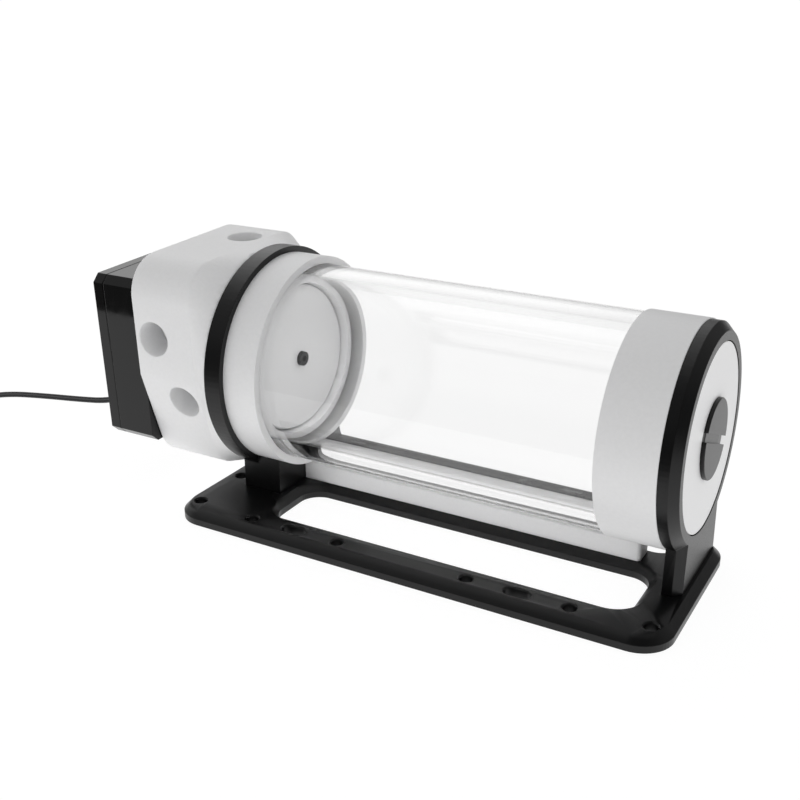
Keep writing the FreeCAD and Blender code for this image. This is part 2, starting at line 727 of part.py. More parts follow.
# base plate
plate = new_body("base_plate", UPRIGHT)
near_corner = ("-plate_half", "-plate_front")
far_corner = ("plate_half", "plate_back")
slab = box_on(plate, "XY_Plane", 0, near_corner, far_corner, "plate_thick")
slab = trim_edges(plate, "Fillet", slab, upright, "plate_corner")
slab = trim_edges(plate, "Chamfer", slab, lambda edge: flat_at(edge, "z", size("plate_thick")), "plate_bevel")
window = new_sketch(plate, "XY_Plane", "plate_thick")
front_window = [
    ("window_left", "-front_window_near"),
    ("window_right", "-front_window_near"),
    ("window_right", "-strip_half"),
    ("window_left", "-strip_half"),
]
rounded_outline(window, front_window, ["front_window_corner"] * 4)
extrude(plate, "Pocket", window, "plate_cut")
window = new_sketch(plate, "XY_Plane", "plate_thick")
rear_window = [
    ("window_left", "strip_half"),
    ("window_right", "strip_half"),
    ("window_right", "rear_window_far"),
    ("window_left", "rear_window_far"),
]
rounded_outline(window, rear_window, ["rear_window_corner"] * 4)
opened = extrude(plate, "Pocket", window, "plate_cut")


def on_window_rim(edge):
    """Tell whether an edge is part of a window's upper rim."""
    if not flat_at(edge, "z", size("plate_thick")):
        return False
    box = edge.BoundBox
    inside_x = box.XMin > size("window_left") - 0.1 and box.XMax < size("window_right") + 0.1
    inside_y = box.YMin > -size("front_window_near") - 0.1 and box.YMax < size("rear_window_far") + 0.1
    return inside_x and inside_y


opened = trim_edges(plate, "Chamfer", opened, on_window_rim, "plate_bevel")
RAIL_HOLES = [
    ("near_hole_x", "-rail_row"),
    ("-near_hole_x", "-rail_row"),
    ("fan_hole_x", "-rail_row"),
    ("-fan_hole_x", "-rail_row"),
    ("corner_hole_x", "-corner_hole_row"),
    ("-corner_hole_x", "-corner_hole_row"),
    ("-end_hole_x", "-end_hole_row"),
    ("-end_hole_x", "end_hole_row"),
]
drilled = new_sketch(plate, "XY_Plane", "plate_thick")
for hole_x, hole_y in RAIL_HOLES:
    circle(drilled, hole_x, hole_y, "rail_hole_r")
slot(drilled, "rail_slot_x", "-rail_row", "rail_slot_length", "rail_hole_r")
slot(drilled, "-rail_slot_x", "-rail_row", "rail_slot_length", "rail_hole_r")
drilled_plate = extrude(plate, "Pocket", drilled, "plate_cut")


def on_hole_rim(edge):
    """Tell whether an edge is part of a rail hole's upper rim."""
    if not flat_at(edge, "z", size("plate_thick")):
        return False
    box = edge.BoundBox
    across = 2 * size("rail_hole_r") + 0.01
    row = abs(box.Center.y + size("rail_row")) < across and box.XLength < size("rail_slot_length")
    outer = abs(box.Center.x) > size("window_right") and box.XLength < across
    return box.YLength < across and (row or outer)


drilled_plate = trim_edges(plate, "Chamfer", drilled_plate, on_hole_rim, "rail_hole_rim")
LEFT_SPOTS = [
    ("left_screw_rear", "-left_screw_y"),
    ("left_screw_rear", "left_screw_y"),
    ("left_screw_front", "-left_screw_y"),
    ("left_screw_front", "left_screw_y"),
]
RIGHT_SPOTS = [("right_screw_x", "-right_screw_y"), ("right_screw_x", "right_screw_y")]
BAR_SPOTS = [("bar_screw_left", 0), ("bar_screw_mid", 0), ("bar_screw_right", 0)]
sunk = new_sketch(plate, "XY_Plane", 0)
through = new_sketch(plate, "XY_Plane", 0)
for spot_x, spot_y in LEFT_SPOTS + RIGHT_SPOTS + BAR_SPOTS:
    circle(sunk, spot_x, spot_y, "foot_recess_r")
    circle(through, spot_x, spot_y, "foot_hole_r")
extrude(plate, "Pocket", sunk, "foot_recess", reverse=True)
extrude(plate, "Pocket", through, "plate_cut", reverse=True)

# left bracket
left = new_body("left_bracket", UPRIGHT)
hoop = new_sketch(left, "YZ_Plane", "left_ring_rear")
circle(hoop, 0, "axis_height", "left_ring_r")
extrude(left, "Pad", hoop, "left_ring_depth")
feet = box_on(
    left,
    "YZ_Plane",
    "left_ring_rear",
    ("-left_foot_half", "plate_thick"),
    ("left_foot_half", "left_foot_top"),
    "left_foot_depth",
)


def in_left_crook(edge):
    """Tell whether an edge is where the left ring meets its upright sides."""
    box = edge.BoundBox
    level = box.ZLength < 0.01 and abs(box.ZMin - size("left_crook")) < 0.1
    return level and box.XLength > size("left_foot_blend")


feet = trim_edges(left, "Fillet", feet, in_left_crook, "left_foot_blend")
bore = new_sketch(left, "YZ_Plane", "left_ring_rear")
circle(bore, 0, "axis_height", "left_bore_r")
extrude(left, "Pocket", bore, "left_foot_depth", reverse=True)
taps = new_sketch(left, "XY_Plane", "plate_thick")
for spot_x, spot_y in LEFT_SPOTS:
    circle(taps, spot_x, spot_y, "foot_tap_r")
extrude(left, "Pocket", taps, "foot_tap", reverse=True)

# right bracket
right = new_body("right_bracket", UPRIGHT)
hoop = new_sketch(right, "YZ_Plane", "right_ring_rear")
circle(hoop, 0, "axis_height", "right_ring_r")
extrude(right, "Pad", hoop, "right_ring_depth")
shin = new_sketch(right, "YZ_Plane", "right_ring_rear")
outline(
    shin,
    [
        ("-right_foot_half", "plate_thick"),
        ("right_foot_half", "plate_thick"),
        ("right_shin_half", "right_shin_top"),
        ("-right_shin_half", "right_shin_top"),
    ],
)
stood = extrude(right, "Pad", shin, "right_ring_depth")


def on_right_face(edge):
    """Tell whether an edge bounds the right bracket's outer face, but not its foot."""
    if not flat_at(edge, "x", size("right_ring_rear") + size("right_ring_depth")):
        return False
    return edge.BoundBox.ZMax > size("plate_thick") + 1


stood = trim_edges(right, "Chamfer", stood, on_right_face, "right_ring_chamfer")
bore = new_sketch(right, "YZ_Plane", size("right_ring_rear") - size("overcut"))
circle(bore, 0, "axis_height", "right_bore_r")
extrude(right, "Pocket", bore, "right_bore_cut", reverse=True)
taps = new_sketch(right, "XY_Plane", "plate_thick")
for spot_x, spot_y in RIGHT_SPOTS:
    circle(taps, spot_x, spot_y, "foot_tap_r")
extrude(right, "Pocket", taps, "foot_tap", reverse=True)

# centre bar
bar = new_body("centre_bar", UPRIGHT)
near_corner = ("bar_left", "-bar_half")
far_corner = ("bar_right", "bar_half")
rail = box_on(bar, "XY_Plane", "plate_thick", near_corner, far_corner, "bar_height")


def at_bar_end(edge):
    """Tell whether an edge is one of the upright corners at the bar's right end."""
    return edge.BoundBox.ZLength > size("bar_edge") and edge.BoundBox.XMin > size("bar_right") - 0.1


rail = trim_edges(bar, "Fillet", rail, at_bar_end, "bar_end_r")
bar_top = size("plate_thick") + size("bar_height")
rail = trim_edges(bar, "Fillet", rail, lambda edge: flat_at(edge, "z", bar_top), "bar_edge")
taps = new_sketch(bar, "XY_Plane", "plate_thick")
for spot_x, spot_y in BAR_SPOTS:
    circle(taps, spot_x, spot_y, "foot_tap_r")
extrude(bar, "Pocket", taps, "foot_tap", reverse=True)

# the screws under the plate
for screw_label, screw_spots in (
    ("left_bracket_screws", LEFT_SPOTS),
    ("right_bracket_screws", RIGHT_SPOTS),
    ("centre_bar_screws", BAR_SPOTS),
):
    screws(
        screw_label,
        UPRIGHT,
        "XY_Plane",
        "foot_recess",
        screw_spots,
        "foot_screw_r",
        "foot_screw_length",
        "foot_screw_head_r",
        "foot_screw_head",
        "foot_screw_key",
    )

# pump top: block, shoulder and neck, then the sump, eye, chamber and ports cut from it
BLOCK = [
    ("block_side", "-block_rise"),
    ("block_side", "block_rise"),
    ("-block_side", "block_rise"),
    ("-block_side", "-facet_top"),
    ("-facet_foot", "-block_rise"),
]
BLOCK_ROUND = ["block_corner", "block_corner", "block_corner", 0, "block_corner"]
top = new_body("pump_top", ON_HEAD)
face = new_sketch(top, "YZ_Plane", "block_rear")
rounded_outline(face, BLOCK, BLOCK_ROUND)
extrude(top, "Pad", face, "block_length")
shoulder_start = new_sketch(top, "YZ_Plane", "block_front")
rounded_outline(shoulder_start, BLOCK, BLOCK_ROUND)
shoulder_end = new_sketch(top, "YZ_Plane", "left_ring_rear")
split_circle(shoulder_end, BLOCK, BLOCK_ROUND, "shoulder_r")
shoulder = top.newObject("PartDesign::AdditiveLoft", "pump_top_shoulder")
shoulder.Profile = shoulder_start
shoulder.Sections = [shoulder_end]
shoulder.Ruled = False
top.Tip = shoulder
doc.recompute()
trim_edges(top, "Fillet", shoulder, lambda edge: flat_at(edge, "x", size("block_rear")), "block_edge")
turn(
    top,
    "Revolution",
    [("left_ring_rear", 0), ("neck_end", 0), ("neck_end", "neck_r"), ("left_ring_rear", "neck_r")],
)
turn(
    top,
    "Groove",
    [
        ("sump_floor", 0),
        ("neck_cut", 0),
        ("neck_cut", "socket_r"),
        ("socket_floor", "socket_r"),
        ("socket_floor", "spigot_r"),
        ("pump_groove_left", "spigot_r"),
        ("pump_groove_left", "ring_groove_r"),
        ("pump_groove_right", "ring_groove_r"),
        ("pump_groove_right", "spigot_r"),
        ("spigot_end", "spigot_r"),
        ("spigot_end", "sump_r"),
        ("sump_floor", "sump_r"),
    ],
)
turn(
    top,
    "Groove",
    [("chamber_front", 0), ("sump_floor", 0), ("sump_floor", "eye_r"), ("chamber_front", "eye_r")],
)
turn(
    top,
    "Groove",
    [
        ("chamber_cut", 0),
        ("chamber_front", 0),
        ("chamber_front", "chamber_r"),
        ("flange_front", "chamber_r"),
        ("flange_front", "chamber_groove_inner"),
        ("chamber_groove_floor", "chamber_groove_inner"),
        ("chamber_groove_floor", "chamber_groove_outer"),
        ("flange_front", "chamber_groove_outer"),
        ("flange_front", "flange_r"),
        ("chamber_cut", "flange_r"),
    ],
)


def port(body, role, offset, x, y, passage_r, reach, tilt=None):
    """Cut a port, the smooth wall of its thread and a passage on to the water, and break its rim."""
    mouth = new_sketch(body, role, offset, tilt)
    circle(mouth, x, y, "port_r")
    cut = extrude(body, "Pocket", mouth, "port_depth")
    doc.recompute()
    plane = mouth.Placement
    outward = plane.Rotation.multVec(Vector(0, 0, 1))
    centre = plane.multVec(Vector(size(x), size(y), 0))

    def on_rim(edge):
        """Tell whether an edge is the circle that the port makes in the block's face."""
        if not isinstance(edge.Curve, Part.Circle) or abs(edge.Curve.Radius - size("port_r")) > 0.01:
            return False
        apart = edge.Curve.Center - centre
        return abs(apart.dot(outward)) < 0.01 and apart.Length < size("port_r")

    trim_edges(body, "Chamfer", cut, on_rim, "port_rim")
    passage = new_sketch(body, role, offset, tilt)
    circle(passage, x, y, passage_r)
    extrude(body, "Pocket", passage, reach)


port(top, "XZ_Plane", "block_side", "outlet_x", "outlet_w", "outlet_passage_r", "outlet_reach")
port(top, "XY_Plane", "block_rise", "inlet_x", "top_port_u", "inlet_passage_r", "block_rise")
facet_lean = math.degrees(math.atan2(size("facet_run"), size("block_rise") - size("facet_top")))
facet = Placement(
    Vector(size("inlet_x"), -size("low_port_w"), size("low_port_u")),
    Rotation(X_AXIS, facet_lean),
)
port(top, "XZ_Plane", 0, 0, 0, "inlet_passage_r", "low_port_u", facet)
for rib in range(3):
    turned_plane = Placement(Vector(0, 0, size("sump_floor")), Rotation(Vector(0, 0, 1), 90 + 120 * rib))
    spoke = new_sketch(top, "YZ_Plane", 0, turned_plane)
    outline(spoke, [(0, "-rib_half"), ("rib_reach", "-rib_half"), ("rib_reach", "rib_half"), (0, "rib_half")])
    extrude(top, "Pad", spoke, "rib_length")
boss = new_sketch(top, "YZ_Plane", "sump_floor")
circle(boss, 0, 0, "boss_r")
extrude(top, "Pad", boss, "boss_length")
tap = new_sketch(top, "YZ_Plane", "disc_rear")
circle(tap, 0, 0, "disc_tap_r")
extrude(top, "Pocket", tap, "disc_tap")
taps = new_sketch(top, "YZ_Plane", "block_rear")
PUMP_SPOTS = [
    ("pump_screw_spot", "pump_screw_spot"),
    ("-pump_screw_spot", "pump_screw_spot"),
    ("-pump_screw_spot", "-pump_screw_spot"),
    ("pump_screw_spot", "-pump_screw_spot"),
]
for spot_y, spot_z in PUMP_SPOTS:
    circle(taps, spot_y, spot_z, "pump_tap_r")
extrude(top, "Pocket", taps, "pump_tap", reverse=True)

# disc and its screw
disc = turned(
    "anti_vortex_disc",
    ON_AXIS,
    [
        ("disc_rear", "disc_hole_r"),
        ("disc_screw_seat", "disc_hole_r"),
        ("disc_screw_seat", "disc_recess_r"),
        ("disc_front", "disc_recess_r"),
        ("disc_front", size("disc_r") - size("disc_edge")),
        (size("disc_front") - size("disc_edge"), "disc_r"),
        ("disc_rear", "disc_r"),
    ],
)
disc_screw = turned(
    "disc_screw",
    ON_AXIS,
    [
        ("disc_screw_tip", 0),
        ("disc_screw_front", 0),
        ("disc_screw_front", "disc_screw_head_r"),
        ("disc_screw_seat", "disc_screw_head_r"),
        ("disc_screw_seat", "disc_screw_r"),
        ("disc_screw_tip", "disc_screw_r"),
    ],
)
key = new_sketch(disc_screw, "YZ_Plane", "disc_screw_front")
hexagon(key, 0, 0, "disc_screw_key")
extrude(disc_screw, "Pocket", key, "disc_key_depth")

# tube, its two seals, end cap
turned(
    "tube",
    ON_AXIS,
    [
        ("tube_left", "tube_bore_r"),
        ("tube_right", "tube_bore_r"),
        ("tube_right", "tube_r"),
        ("tube_left", "tube_r"),
    ],
)
for ring_label, ring_x in (("pump_end_o_ring", "pump_ring_x"), ("cap_end_o_ring", "cap_ring_x")):
    seal = new_body(ring_label, ON_AXIS)
    turn_circle(seal, "Revolution", ring_x, "o_ring_mid_r", "o_ring_r")
turned(
    "end_cap",
    ON_AXIS,
    [
        ("cap_left", "cap_r"),
        ("right_ring_rear", "cap_r"),
        ("right_ring_rear", "boss_face_r"),
        ("boss_face", "boss_face_r"),
        ("boss_face", "plug_seat_r"),
        ("plug_seat_floor", "plug_seat_r"),
        ("plug_seat_floor", "plug_hole_r"),
        ("cap_floor", "plug_hole_r"),
        ("cap_floor", "sump_r"),
        ("cap_spigot", "sump_r"),
        ("cap_spigot", "spigot_r"),
        ("cap_groove_left", "spigot_r"),
        ("cap_groove_left", "ring_groove_r"),
        ("cap_groove_right", "ring_groove_r"),
        ("cap_groove_right", "spigot_r"),
        ("cap_socket_floor", "spigot_r"),
        ("cap_socket_floor", "socket_r"),
        ("cap_left", "socket_r"),
    ],
)

# fill plug and its seal
ON_PLUG = Placement(ON_AXIS.Base, Rotation(X_AXIS, size("plug_turn")))
plug = turned(
    "fill_plug",
    ON_PLUG,
    [
        ("plug_tip", 0),
        ("plug_head_front", 0),
        ("plug_head_front", size("plug_head_r") - size("plug_edge")),
        (size("plug_head_front") - size("plug_edge"), "plug_head_r"),
        ("boss_face", "plug_head_r"),
        ("boss_face", "plug_shank_r"),
        ("plug_tip", "plug_shank_r"),
    ],
)
coin = new_sketch(plug, "YZ_Plane", "plug_head_front")
outline(
    coin,
    [
        ("-plug_slot_reach", "-plug_slot_half"),
        ("plug_slot_reach", "-plug_slot_half"),
        ("plug_slot_reach", "plug_slot_half"),
        ("-plug_slot_reach", "plug_slot_half"),
    ],
)
extrude(plug, "Pocket", coin, "plug_slot_depth")
seal = new_body("fill_plug_o_ring", ON_AXIS)
turn_circle(seal, "Revolution", "plug_ring_x", "plug_ring_mid_r", "plug_ring_r")

# pump case and lid
case = new_body("pump_housing", ON_HEAD)
SQUARE = [
    ("case_half", "-case_half"),
    ("case_half", "case_half"),
    ("-case_half", "case_half"),
    ("-case_half", "-case_half"),
]
CAVITY = [
    ("case_cavity", "-case_cavity"),
    ("case_cavity", "case_cavity"),
    ("-case_cavity", "case_cavity"),
    ("-case_cavity", "-case_cavity"),
]


def runs_along(edge):
    """Tell whether a straight edge runs along X."""
    return edge.BoundBox.YLength < 0.01 and edge.BoundBox.ZLength < 0.01


walls = new_sketch(case, "YZ_Plane", "lid_front")
outline(walls, SQUARE)
block = extrude(case, "Pad", walls, "case_depth")
block = trim_edges(case, "Chamfer", block, runs_along, "case_chamfer")
trim_edges(case, "Chamfer", block, lambda edge: flat_at(edge, "x", size("lid_front")), "seam_edge")
hollow = new_sketch(case, "YZ_Plane", "lid_front")
rounded_outline(hollow, CAVITY, ["case_cavity_r"] * 4)
extrude(case, "Pocket", hollow, size("case_floor") - size("lid_front"), reverse=True)
cuts = new_sketch(case, "YZ_Plane", size("lid_front") - size("overcut"))
circle(cuts, 0, 0, "cup_hole_r")
for spot_y, spot_z in PUMP_SPOTS:
    circle(cuts, spot_y, spot_z, "pump_hole_r")
extrude(case, "Pocket", cuts, "case_cut", reverse=True)
lid = new_body("pump_lid", ON_HEAD)
walls = new_sketch(lid, "YZ_Plane", "lid_rear")
outline(walls, SQUARE)
cover = extrude(lid, "Pad", walls, "lid_length")
cover = trim_edges(lid, "Chamfer", cover, runs_along, "case_chamfer")
cover = trim_edges(lid, "Chamfer", cover, lambda edge: flat_at(edge, "x", size("lid_rear")), "lid_edge")
lid_face = size("lid_rear") + size("lid_length")
trim_edges(lid, "Chamfer", cover, lambda edge: flat_at(edge, "x", lid_face), "seam_edge")
hollow = new_sketch(lid, "YZ_Plane", "lid_inner")
rounded_outline(hollow, CAVITY, ["case_cavity_r"] * 4)
extrude(lid, "Pocket", hollow, "lid_hollow", reverse=True)
lead_spot = ON_HEAD.inverse().multVec(Vector(0, size("lead_y"), size("lead_z")))
cuts = new_sketch(lid, "YZ_Plane", size("lid_rear") - size("overcut"))
circle(cuts, lead_spot.y, lead_spot.z, "grommet_hole_r")
for spot_y, spot_z in PUMP_SPOTS:
    circle(cuts, spot_y, spot_z, "pump_hole_r")
extrude(lid, "Pocket", cuts, "lid_cut", reverse=True)
cuts = new_sketch(lid, "YZ_Plane", size("lid_rear") - size("overcut"))
for spot_y, spot_z in PUMP_SPOTS:
    circle(cuts, spot_y, spot_z, "pump_recess_r")
extrude(lid, "Pocket", cuts, "pump_recess", reverse=True)
screws(
    "pump_screws",
    ON_HEAD,
    "YZ_Plane",
    "pump_screw_seat",
    PUMP_SPOTS,
    "pump_screw_r",
    "pump_screw_length",
    "pump_screw_head_r",
    "pump_screw_head",
    "pump_screw_key",
)

# isolation cup with its post, ball and seal
cup = turned(
    "isolation_cup",
    ON_AXIS,
    [
        ("cup_rear", 0),
        ("post_top", 0),
        ("post_top", "post_r"),
        ("cup_floor", "post_r"),
        ("cup_floor", "cup_bore_r"),
        ("flange_front", "cup_bore_r"),
        ("flange_front", "cup_flange_r"),
        ("block_rear", "cup_flange_r"),
        ("block_rear", "cup_r"),
        ("cup_rear", "cup_r"),
    ],
)
turn_ball(cup, "Groove", "ball_x", "ball_seat_r")
ball = new_body("bearing_ball", ON_AXIS)
turn_ball(ball, "Revolution", "ball_x", "ball_r")
seal = new_body("chamber_o_ring", ON_AXIS)
turn_circle(seal, "Revolution", "chamber_ring_x", "chamber_ring_mid_r", "chamber_ring_r")

# impeller: back plate and hub turned, vanes patterned, cover ring in front
wheel = turned(
    "impeller",
    ON_AXIS,
    [
        ("wheel_back", 0),
        ("wheel_back", "wheel_r"),
        ("wheel_rear", "wheel_r"),
        ("wheel_rear", "hub_r"),
        ("hub_rear", "hub_r"),
        ("hub_rear", "bearing_hole_r"),
        ("bearing_front", "bearing_hole_r"),
        ("bearing_front", 0),
    ],
)
vane = new_sketch(wheel, "YZ_Plane", "wheel_back")


def spiral(radius, angle):
    """Return the point of the vane's plane at a radius and an angle in degrees."""
    turned_by = math.radians(angle)
    return Vector(size(radius) * math.cos(turned_by), size(radius) * math.sin(turned_by), 0)


sweep_mid = size("vane_mid_angle")
sweep = size("vane_sweep_angle")
thick = size("vane_thick_angle")
root_thick = thick * size("vane_tip_r") / size("vane_root_r")
mid_thick = thick * size("vane_tip_r") / size("vane_mid_r")
outer_side = Part.Arc(spiral("vane_root_r", 0), spiral("vane_mid_r", sweep_mid), spiral("vane_tip_r", sweep))
inner_side = Part.Arc(
    spiral("vane_root_r", root_thick),
    spiral("vane_mid_r", sweep_mid + mid_thick),
    spiral("vane_tip_r", sweep + thick),
)
tip_line = Part.LineSegment(spiral("vane_tip_r", sweep), spiral("vane_tip_r", sweep + thick))
root_line = Part.LineSegment(spiral("vane_root_r", root_thick), spiral("vane_root_r", 0))
for piece in (outer_side, tip_line, inner_side, root_line):
    vane.addGeometry(piece, False)
first_vane = extrude(wheel, "Pad", vane, "vane_height")
ring_of_vanes = wheel.newObject("PartDesign::PolarPattern", "impeller_vanes")
ring_of_vanes.Originals = [first_vane]
ring_of_vanes.Axis = (vane, ["N_Axis"])
ring_of_vanes.Angle = 360
ring_of_vanes.Occurrences = int(size("vane_count"))
wheel.Tip = ring_of_vanes
cover_ring = new_sketch(wheel, "YZ_Plane", "vane_front")
circle(cover_ring, 0, 0, "wheel_r")
circle(cover_ring, 0, 0, "wheel_eye_r")
extrude(wheel, "Pad", cover_ring, "cover_thick")
turned(
    "rotor_magnet",
    ON_AXIS,
    [
        ("hub_rear", "magnet_bore_r"),
        ("magnet_front", "magnet_bore_r"),
        ("magnet_front", "magnet_r"),
        ("hub_rear", "magnet_r"),
    ],
)
bearing = turned(
    "bearing_cup",
    ON_AXIS,
    [
        ("bearing_front", 0),
        ("bearing_front", "bearing_r"),
        ("bearing_rear", "bearing_r"),
        ("bearing_rear", "bearing_bore_r"),
        ("ball_x", "bearing_bore_r"),
        ("ball_x", 0),
    ],
)
turn_ball(bearing, "Groove", "ball_x", "ball_socket_r")

# stator core with six poles, a coil on each
core = turned(
    "stator_core",
    ON_AXIS,
    [("core_rear", "yoke_r"), ("core_front", "yoke_r"), ("core_front", "core_r"), ("core_rear", "core_r")],
)
pole = new_sketch(core, "YZ_Plane", "core_rear")
POLE = [
    ("pole_r", "-pole_half"),
    ("pole_root_r", "-pole_half"),
    ("pole_root_r", "pole_half"),
    ("pole_r", "pole_half"),
]
outline(pole, POLE)
first_pole = extrude(core, "Pad", pole, "core_length")
poles = core.newObject("PartDesign::PolarPattern", "stator_poles")
poles.Originals = [first_pole]
poles.Axis = (pole, ["N_Axis"])
poles.Angle = 360
poles.Occurrences = 6
core.Tip = poles
coils = new_body("stator_coils", ON_AXIS)
WINDING = [
    ("winding_inner", "-winding_half"),
    ("winding_outer", "-winding_half"),
    ("winding_outer", "winding_half"),
    ("winding_inner", "winding_half"),
]
TUNNEL = [
    ("tunnel_inner", "-pole_half"),
    ("pole_root_r", "-pole_half"),
    ("pole_root_r", "pole_half"),
    ("tunnel_inner", "pole_half"),
]
for turn_index in range(6):
    spin = Rotation(Vector(0, 0, 1), 60 * turn_index)
    winding = new_sketch(coils, "YZ_Plane", 0, Placement(Vector(0, 0, size("winding_rear")), spin))
    outline(winding, WINDING)
    extrude(coils, "Pad", winding, "winding_length")
for turn_index in range(6):
    spin = Rotation(Vector(0, 0, 1), 60 * turn_index)
    tunnel = new_sketch(coils, "YZ_Plane", 0, Placement(Vector(0, 0, size("core_rear")), spin))
    outline(tunnel, TUNNEL)
    extrude(coils, "Pocket", tunnel, "core_length", reverse=True)

# circuit board
board = turned(
    "circuit_board",
    ON_HEAD,
    [("board_rear", 0), ("board_front", 0), ("board_front", "board_r"), ("board_rear", "board_r")],
)
for notch_x in ("-board_notch_x", "board_notch_x"):
    notch = new_sketch(board, "YZ_Plane", "board_rear")
    circle(notch, notch_x, 0, "board_notch_r")
    extrude(board, "Pocket", notch, "board_cut", reverse=True)

# lead: grommet, cable, coil, tail, connector and tie
bush = new_body("cable_grommet", Placement(Vector(0, size("lead_y"), size("lead_z")), Rotation()))
turn(
    bush,
    "Revolution",
    [
        ("grommet_rear", "grommet_bore_r"),
        ("grommet_front", "grommet_bore_r"),
        ("grommet_front", "grommet_r"),
        ("lid_rear", "grommet_r"),
        ("lid_rear", "grommet_rim_r"),
        ("grommet_rear", "grommet_rim_r"),
    ],
)


def cord(corners, radius):
    """Sweep a round section along straight runs joined by tangent arcs."""
    points = [Vector(*corner) for corner in corners]
    edges = []
    start = points[0]
    for index in range(1, len(points) - 1):
        back = points[index - 1] - points[index]
        ahead = points[index + 1] - points[index]
        half = (math.pi - back.getAngle(ahead)) / 2
        cut = 0.45 * min(back.Length, ahead.Length)
        before = points[index] + back.normalize() * cut
        after = points[index] + ahead.normalize() * cut
        if half > 0.002:
            bend = cut / math.tan(half)
            print("bend radius %.1f mm" % bend)
            inward = (before + after) * 0.5 - points[index]
            reach = math.hypot(bend, cut) - bend
            middle = points[index] + inward.normalize() * reach
            edges.append(Part.LineSegment(start, before).toShape())
            edges.append(Part.Arc(before, middle, after).toShape())
            start = after
    edges.append(Part.LineSegment(start, points[-1]).toShape())
    path = Part.Wire(edges)
    heading = (points[1] - points[0]).normalize()
    section = Part.Wire(Part.Circle(points[0], heading, radius).toShape())
    solid = path.makePipeShell([section], True, True)
    expected = math.pi * radius ** 2 * path.Length
    print("cord length %.1f mm" % path.Length)
    print("volume over section times length %.4f" % (solid.Volume / expected))
    return solid


def plain(label, shape):
    """Hand in a shape made in code."""
    thing = doc.addObject("Part::Feature", label)
    thing.Label = label
    thing.Shape = shape
    handed_in.append(thing)
    return thing


lead_y = size("lead_y")
LEAD_ROUTE = [
    (size("board_rear"), lead_y, size("lead_z")),
    (-147, lead_y, size("lead_z")),
    (-157, lead_y, 24.6),
    (-172, lead_y, 22.5),
    (-192, lead_y, 20.1),
    (-214, lead_y, 17),
    (-234, lead_y, 11.5),
    (-252, lead_y, 5.6),
    (-268, lead_y, size("hank_z")),
    (size("hank_x"), lead_y, size("hank_z")),
]
plain("cable", cord(LEAD_ROUTE, size("lead_r")))
hank_centre = Vector(size("hank_x"), lead_y - size("hank_r"), size("hank_z"))
plain("cable_coil", Part.makeTorus(size("hank_r"), size("hank_section_r"), hank_centre, Vector(0, 0, 1)))
tail_start = Vector(size("hank_x"), lead_y - 2 * size("hank_r"), size("hank_z"))
tail_end = tail_start + X_AXIS * size("tail_length")
plain("cable_tail", Part.makeCylinder(size("lead_r"), size("tail_length"), tail_start, X_AXIS))
shell = new_body("cable_connector", Placement(tail_end, Rotation()))
near_corner = ("-shell_half", "-shell_low_half")
far_corner = ("shell_half", "shell_low_half")
box_on(shell, "YZ_Plane", 0, near_corner, far_corner, "shell_length")
for pin_index in range(int(size("pin_count"))):
    spot = (pin_index - (size("pin_count") - 1) / 2) * size("pin_pitch")
    near = (spot - size("pin_half"), "-pin_half")
    far = (spot + size("pin_half"), "pin_half")
    box_on(shell, "YZ_Plane", "shell_length", near, far, "pin_depth", kind="Pocket")
tie_spot = hank_centre - X_AXIS * size("hank_r")
tie = new_body("cable_tie", Placement(tie_spot, Rotation(Vector(1, 0, 0), Vector(0, 1, 0))))
turn(
    tie,
    "Revolution",
    [
        ("-tie_half", "tie_inner_r"),
        ("tie_half", "tie_inner_r"),
        ("tie_half", "tie_outer_r"),
        ("-tie_half", "tie_outer_r"),
    ],
)

doc.recompute()
for thing in doc.Objects:
    if "Invalid" in thing.State or "Error" in thing.State:
        raise RuntimeError("not solved: %s %s" % (thing.Label, thing.State))
    if thing.TypeId in ("PartDesign::Pocket", "PartDesign::Groove"):
        before = thing.BaseFeature.Shape.Volume
        after = thing.Shape.Volume
        if before - after < 0.01:
            raise RuntimeError("cuts nothing: %s" % thing.Label)
for thing in handed_in:
    shape = thing.Shape
    if shape.isNull() or not shape.isValid():
        raise RuntimeError("bad shape: " + thing.Label)
    print("%-22s solids %d volume %.1f" % (thing.Label, len(shape.Solids), shape.Volume))
    shape.exportStep(os.path.join("parts", thing.Label + ".step"))
print("parts written:", len(handed_in))
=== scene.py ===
# %% [markdown]
# # A coolant reservoir with its pump
#
# A clear tube lies on a black base plate. A white pump top closes its left end, a white cap with a
# dark plug closes its right end, and two black ring brackets hold it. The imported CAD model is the
# fixed frame: every piece made here is in metres in the same frame, so it goes where the CAD says.
# Pieces could be placed by eye instead, but with the frame's own numbers nothing needs fitting.

import json
import math

import bmesh
import bpy
import numpy as np
from mathutils import Matrix, Vector


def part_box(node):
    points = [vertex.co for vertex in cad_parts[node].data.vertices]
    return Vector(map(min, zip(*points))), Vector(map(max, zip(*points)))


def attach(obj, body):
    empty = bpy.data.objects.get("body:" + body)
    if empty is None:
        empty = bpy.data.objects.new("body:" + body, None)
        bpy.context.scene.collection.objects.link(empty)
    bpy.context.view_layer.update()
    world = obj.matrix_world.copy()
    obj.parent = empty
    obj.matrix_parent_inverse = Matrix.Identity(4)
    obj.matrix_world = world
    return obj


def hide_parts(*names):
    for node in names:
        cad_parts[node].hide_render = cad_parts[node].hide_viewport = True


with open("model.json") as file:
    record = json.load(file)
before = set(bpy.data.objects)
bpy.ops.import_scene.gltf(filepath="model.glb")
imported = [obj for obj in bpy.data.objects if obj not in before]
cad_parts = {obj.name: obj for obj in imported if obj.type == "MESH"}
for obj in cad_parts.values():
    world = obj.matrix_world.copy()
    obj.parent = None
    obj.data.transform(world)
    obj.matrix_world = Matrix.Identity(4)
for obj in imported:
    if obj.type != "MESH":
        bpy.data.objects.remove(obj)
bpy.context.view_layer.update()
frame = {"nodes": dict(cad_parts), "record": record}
MM = 0.001

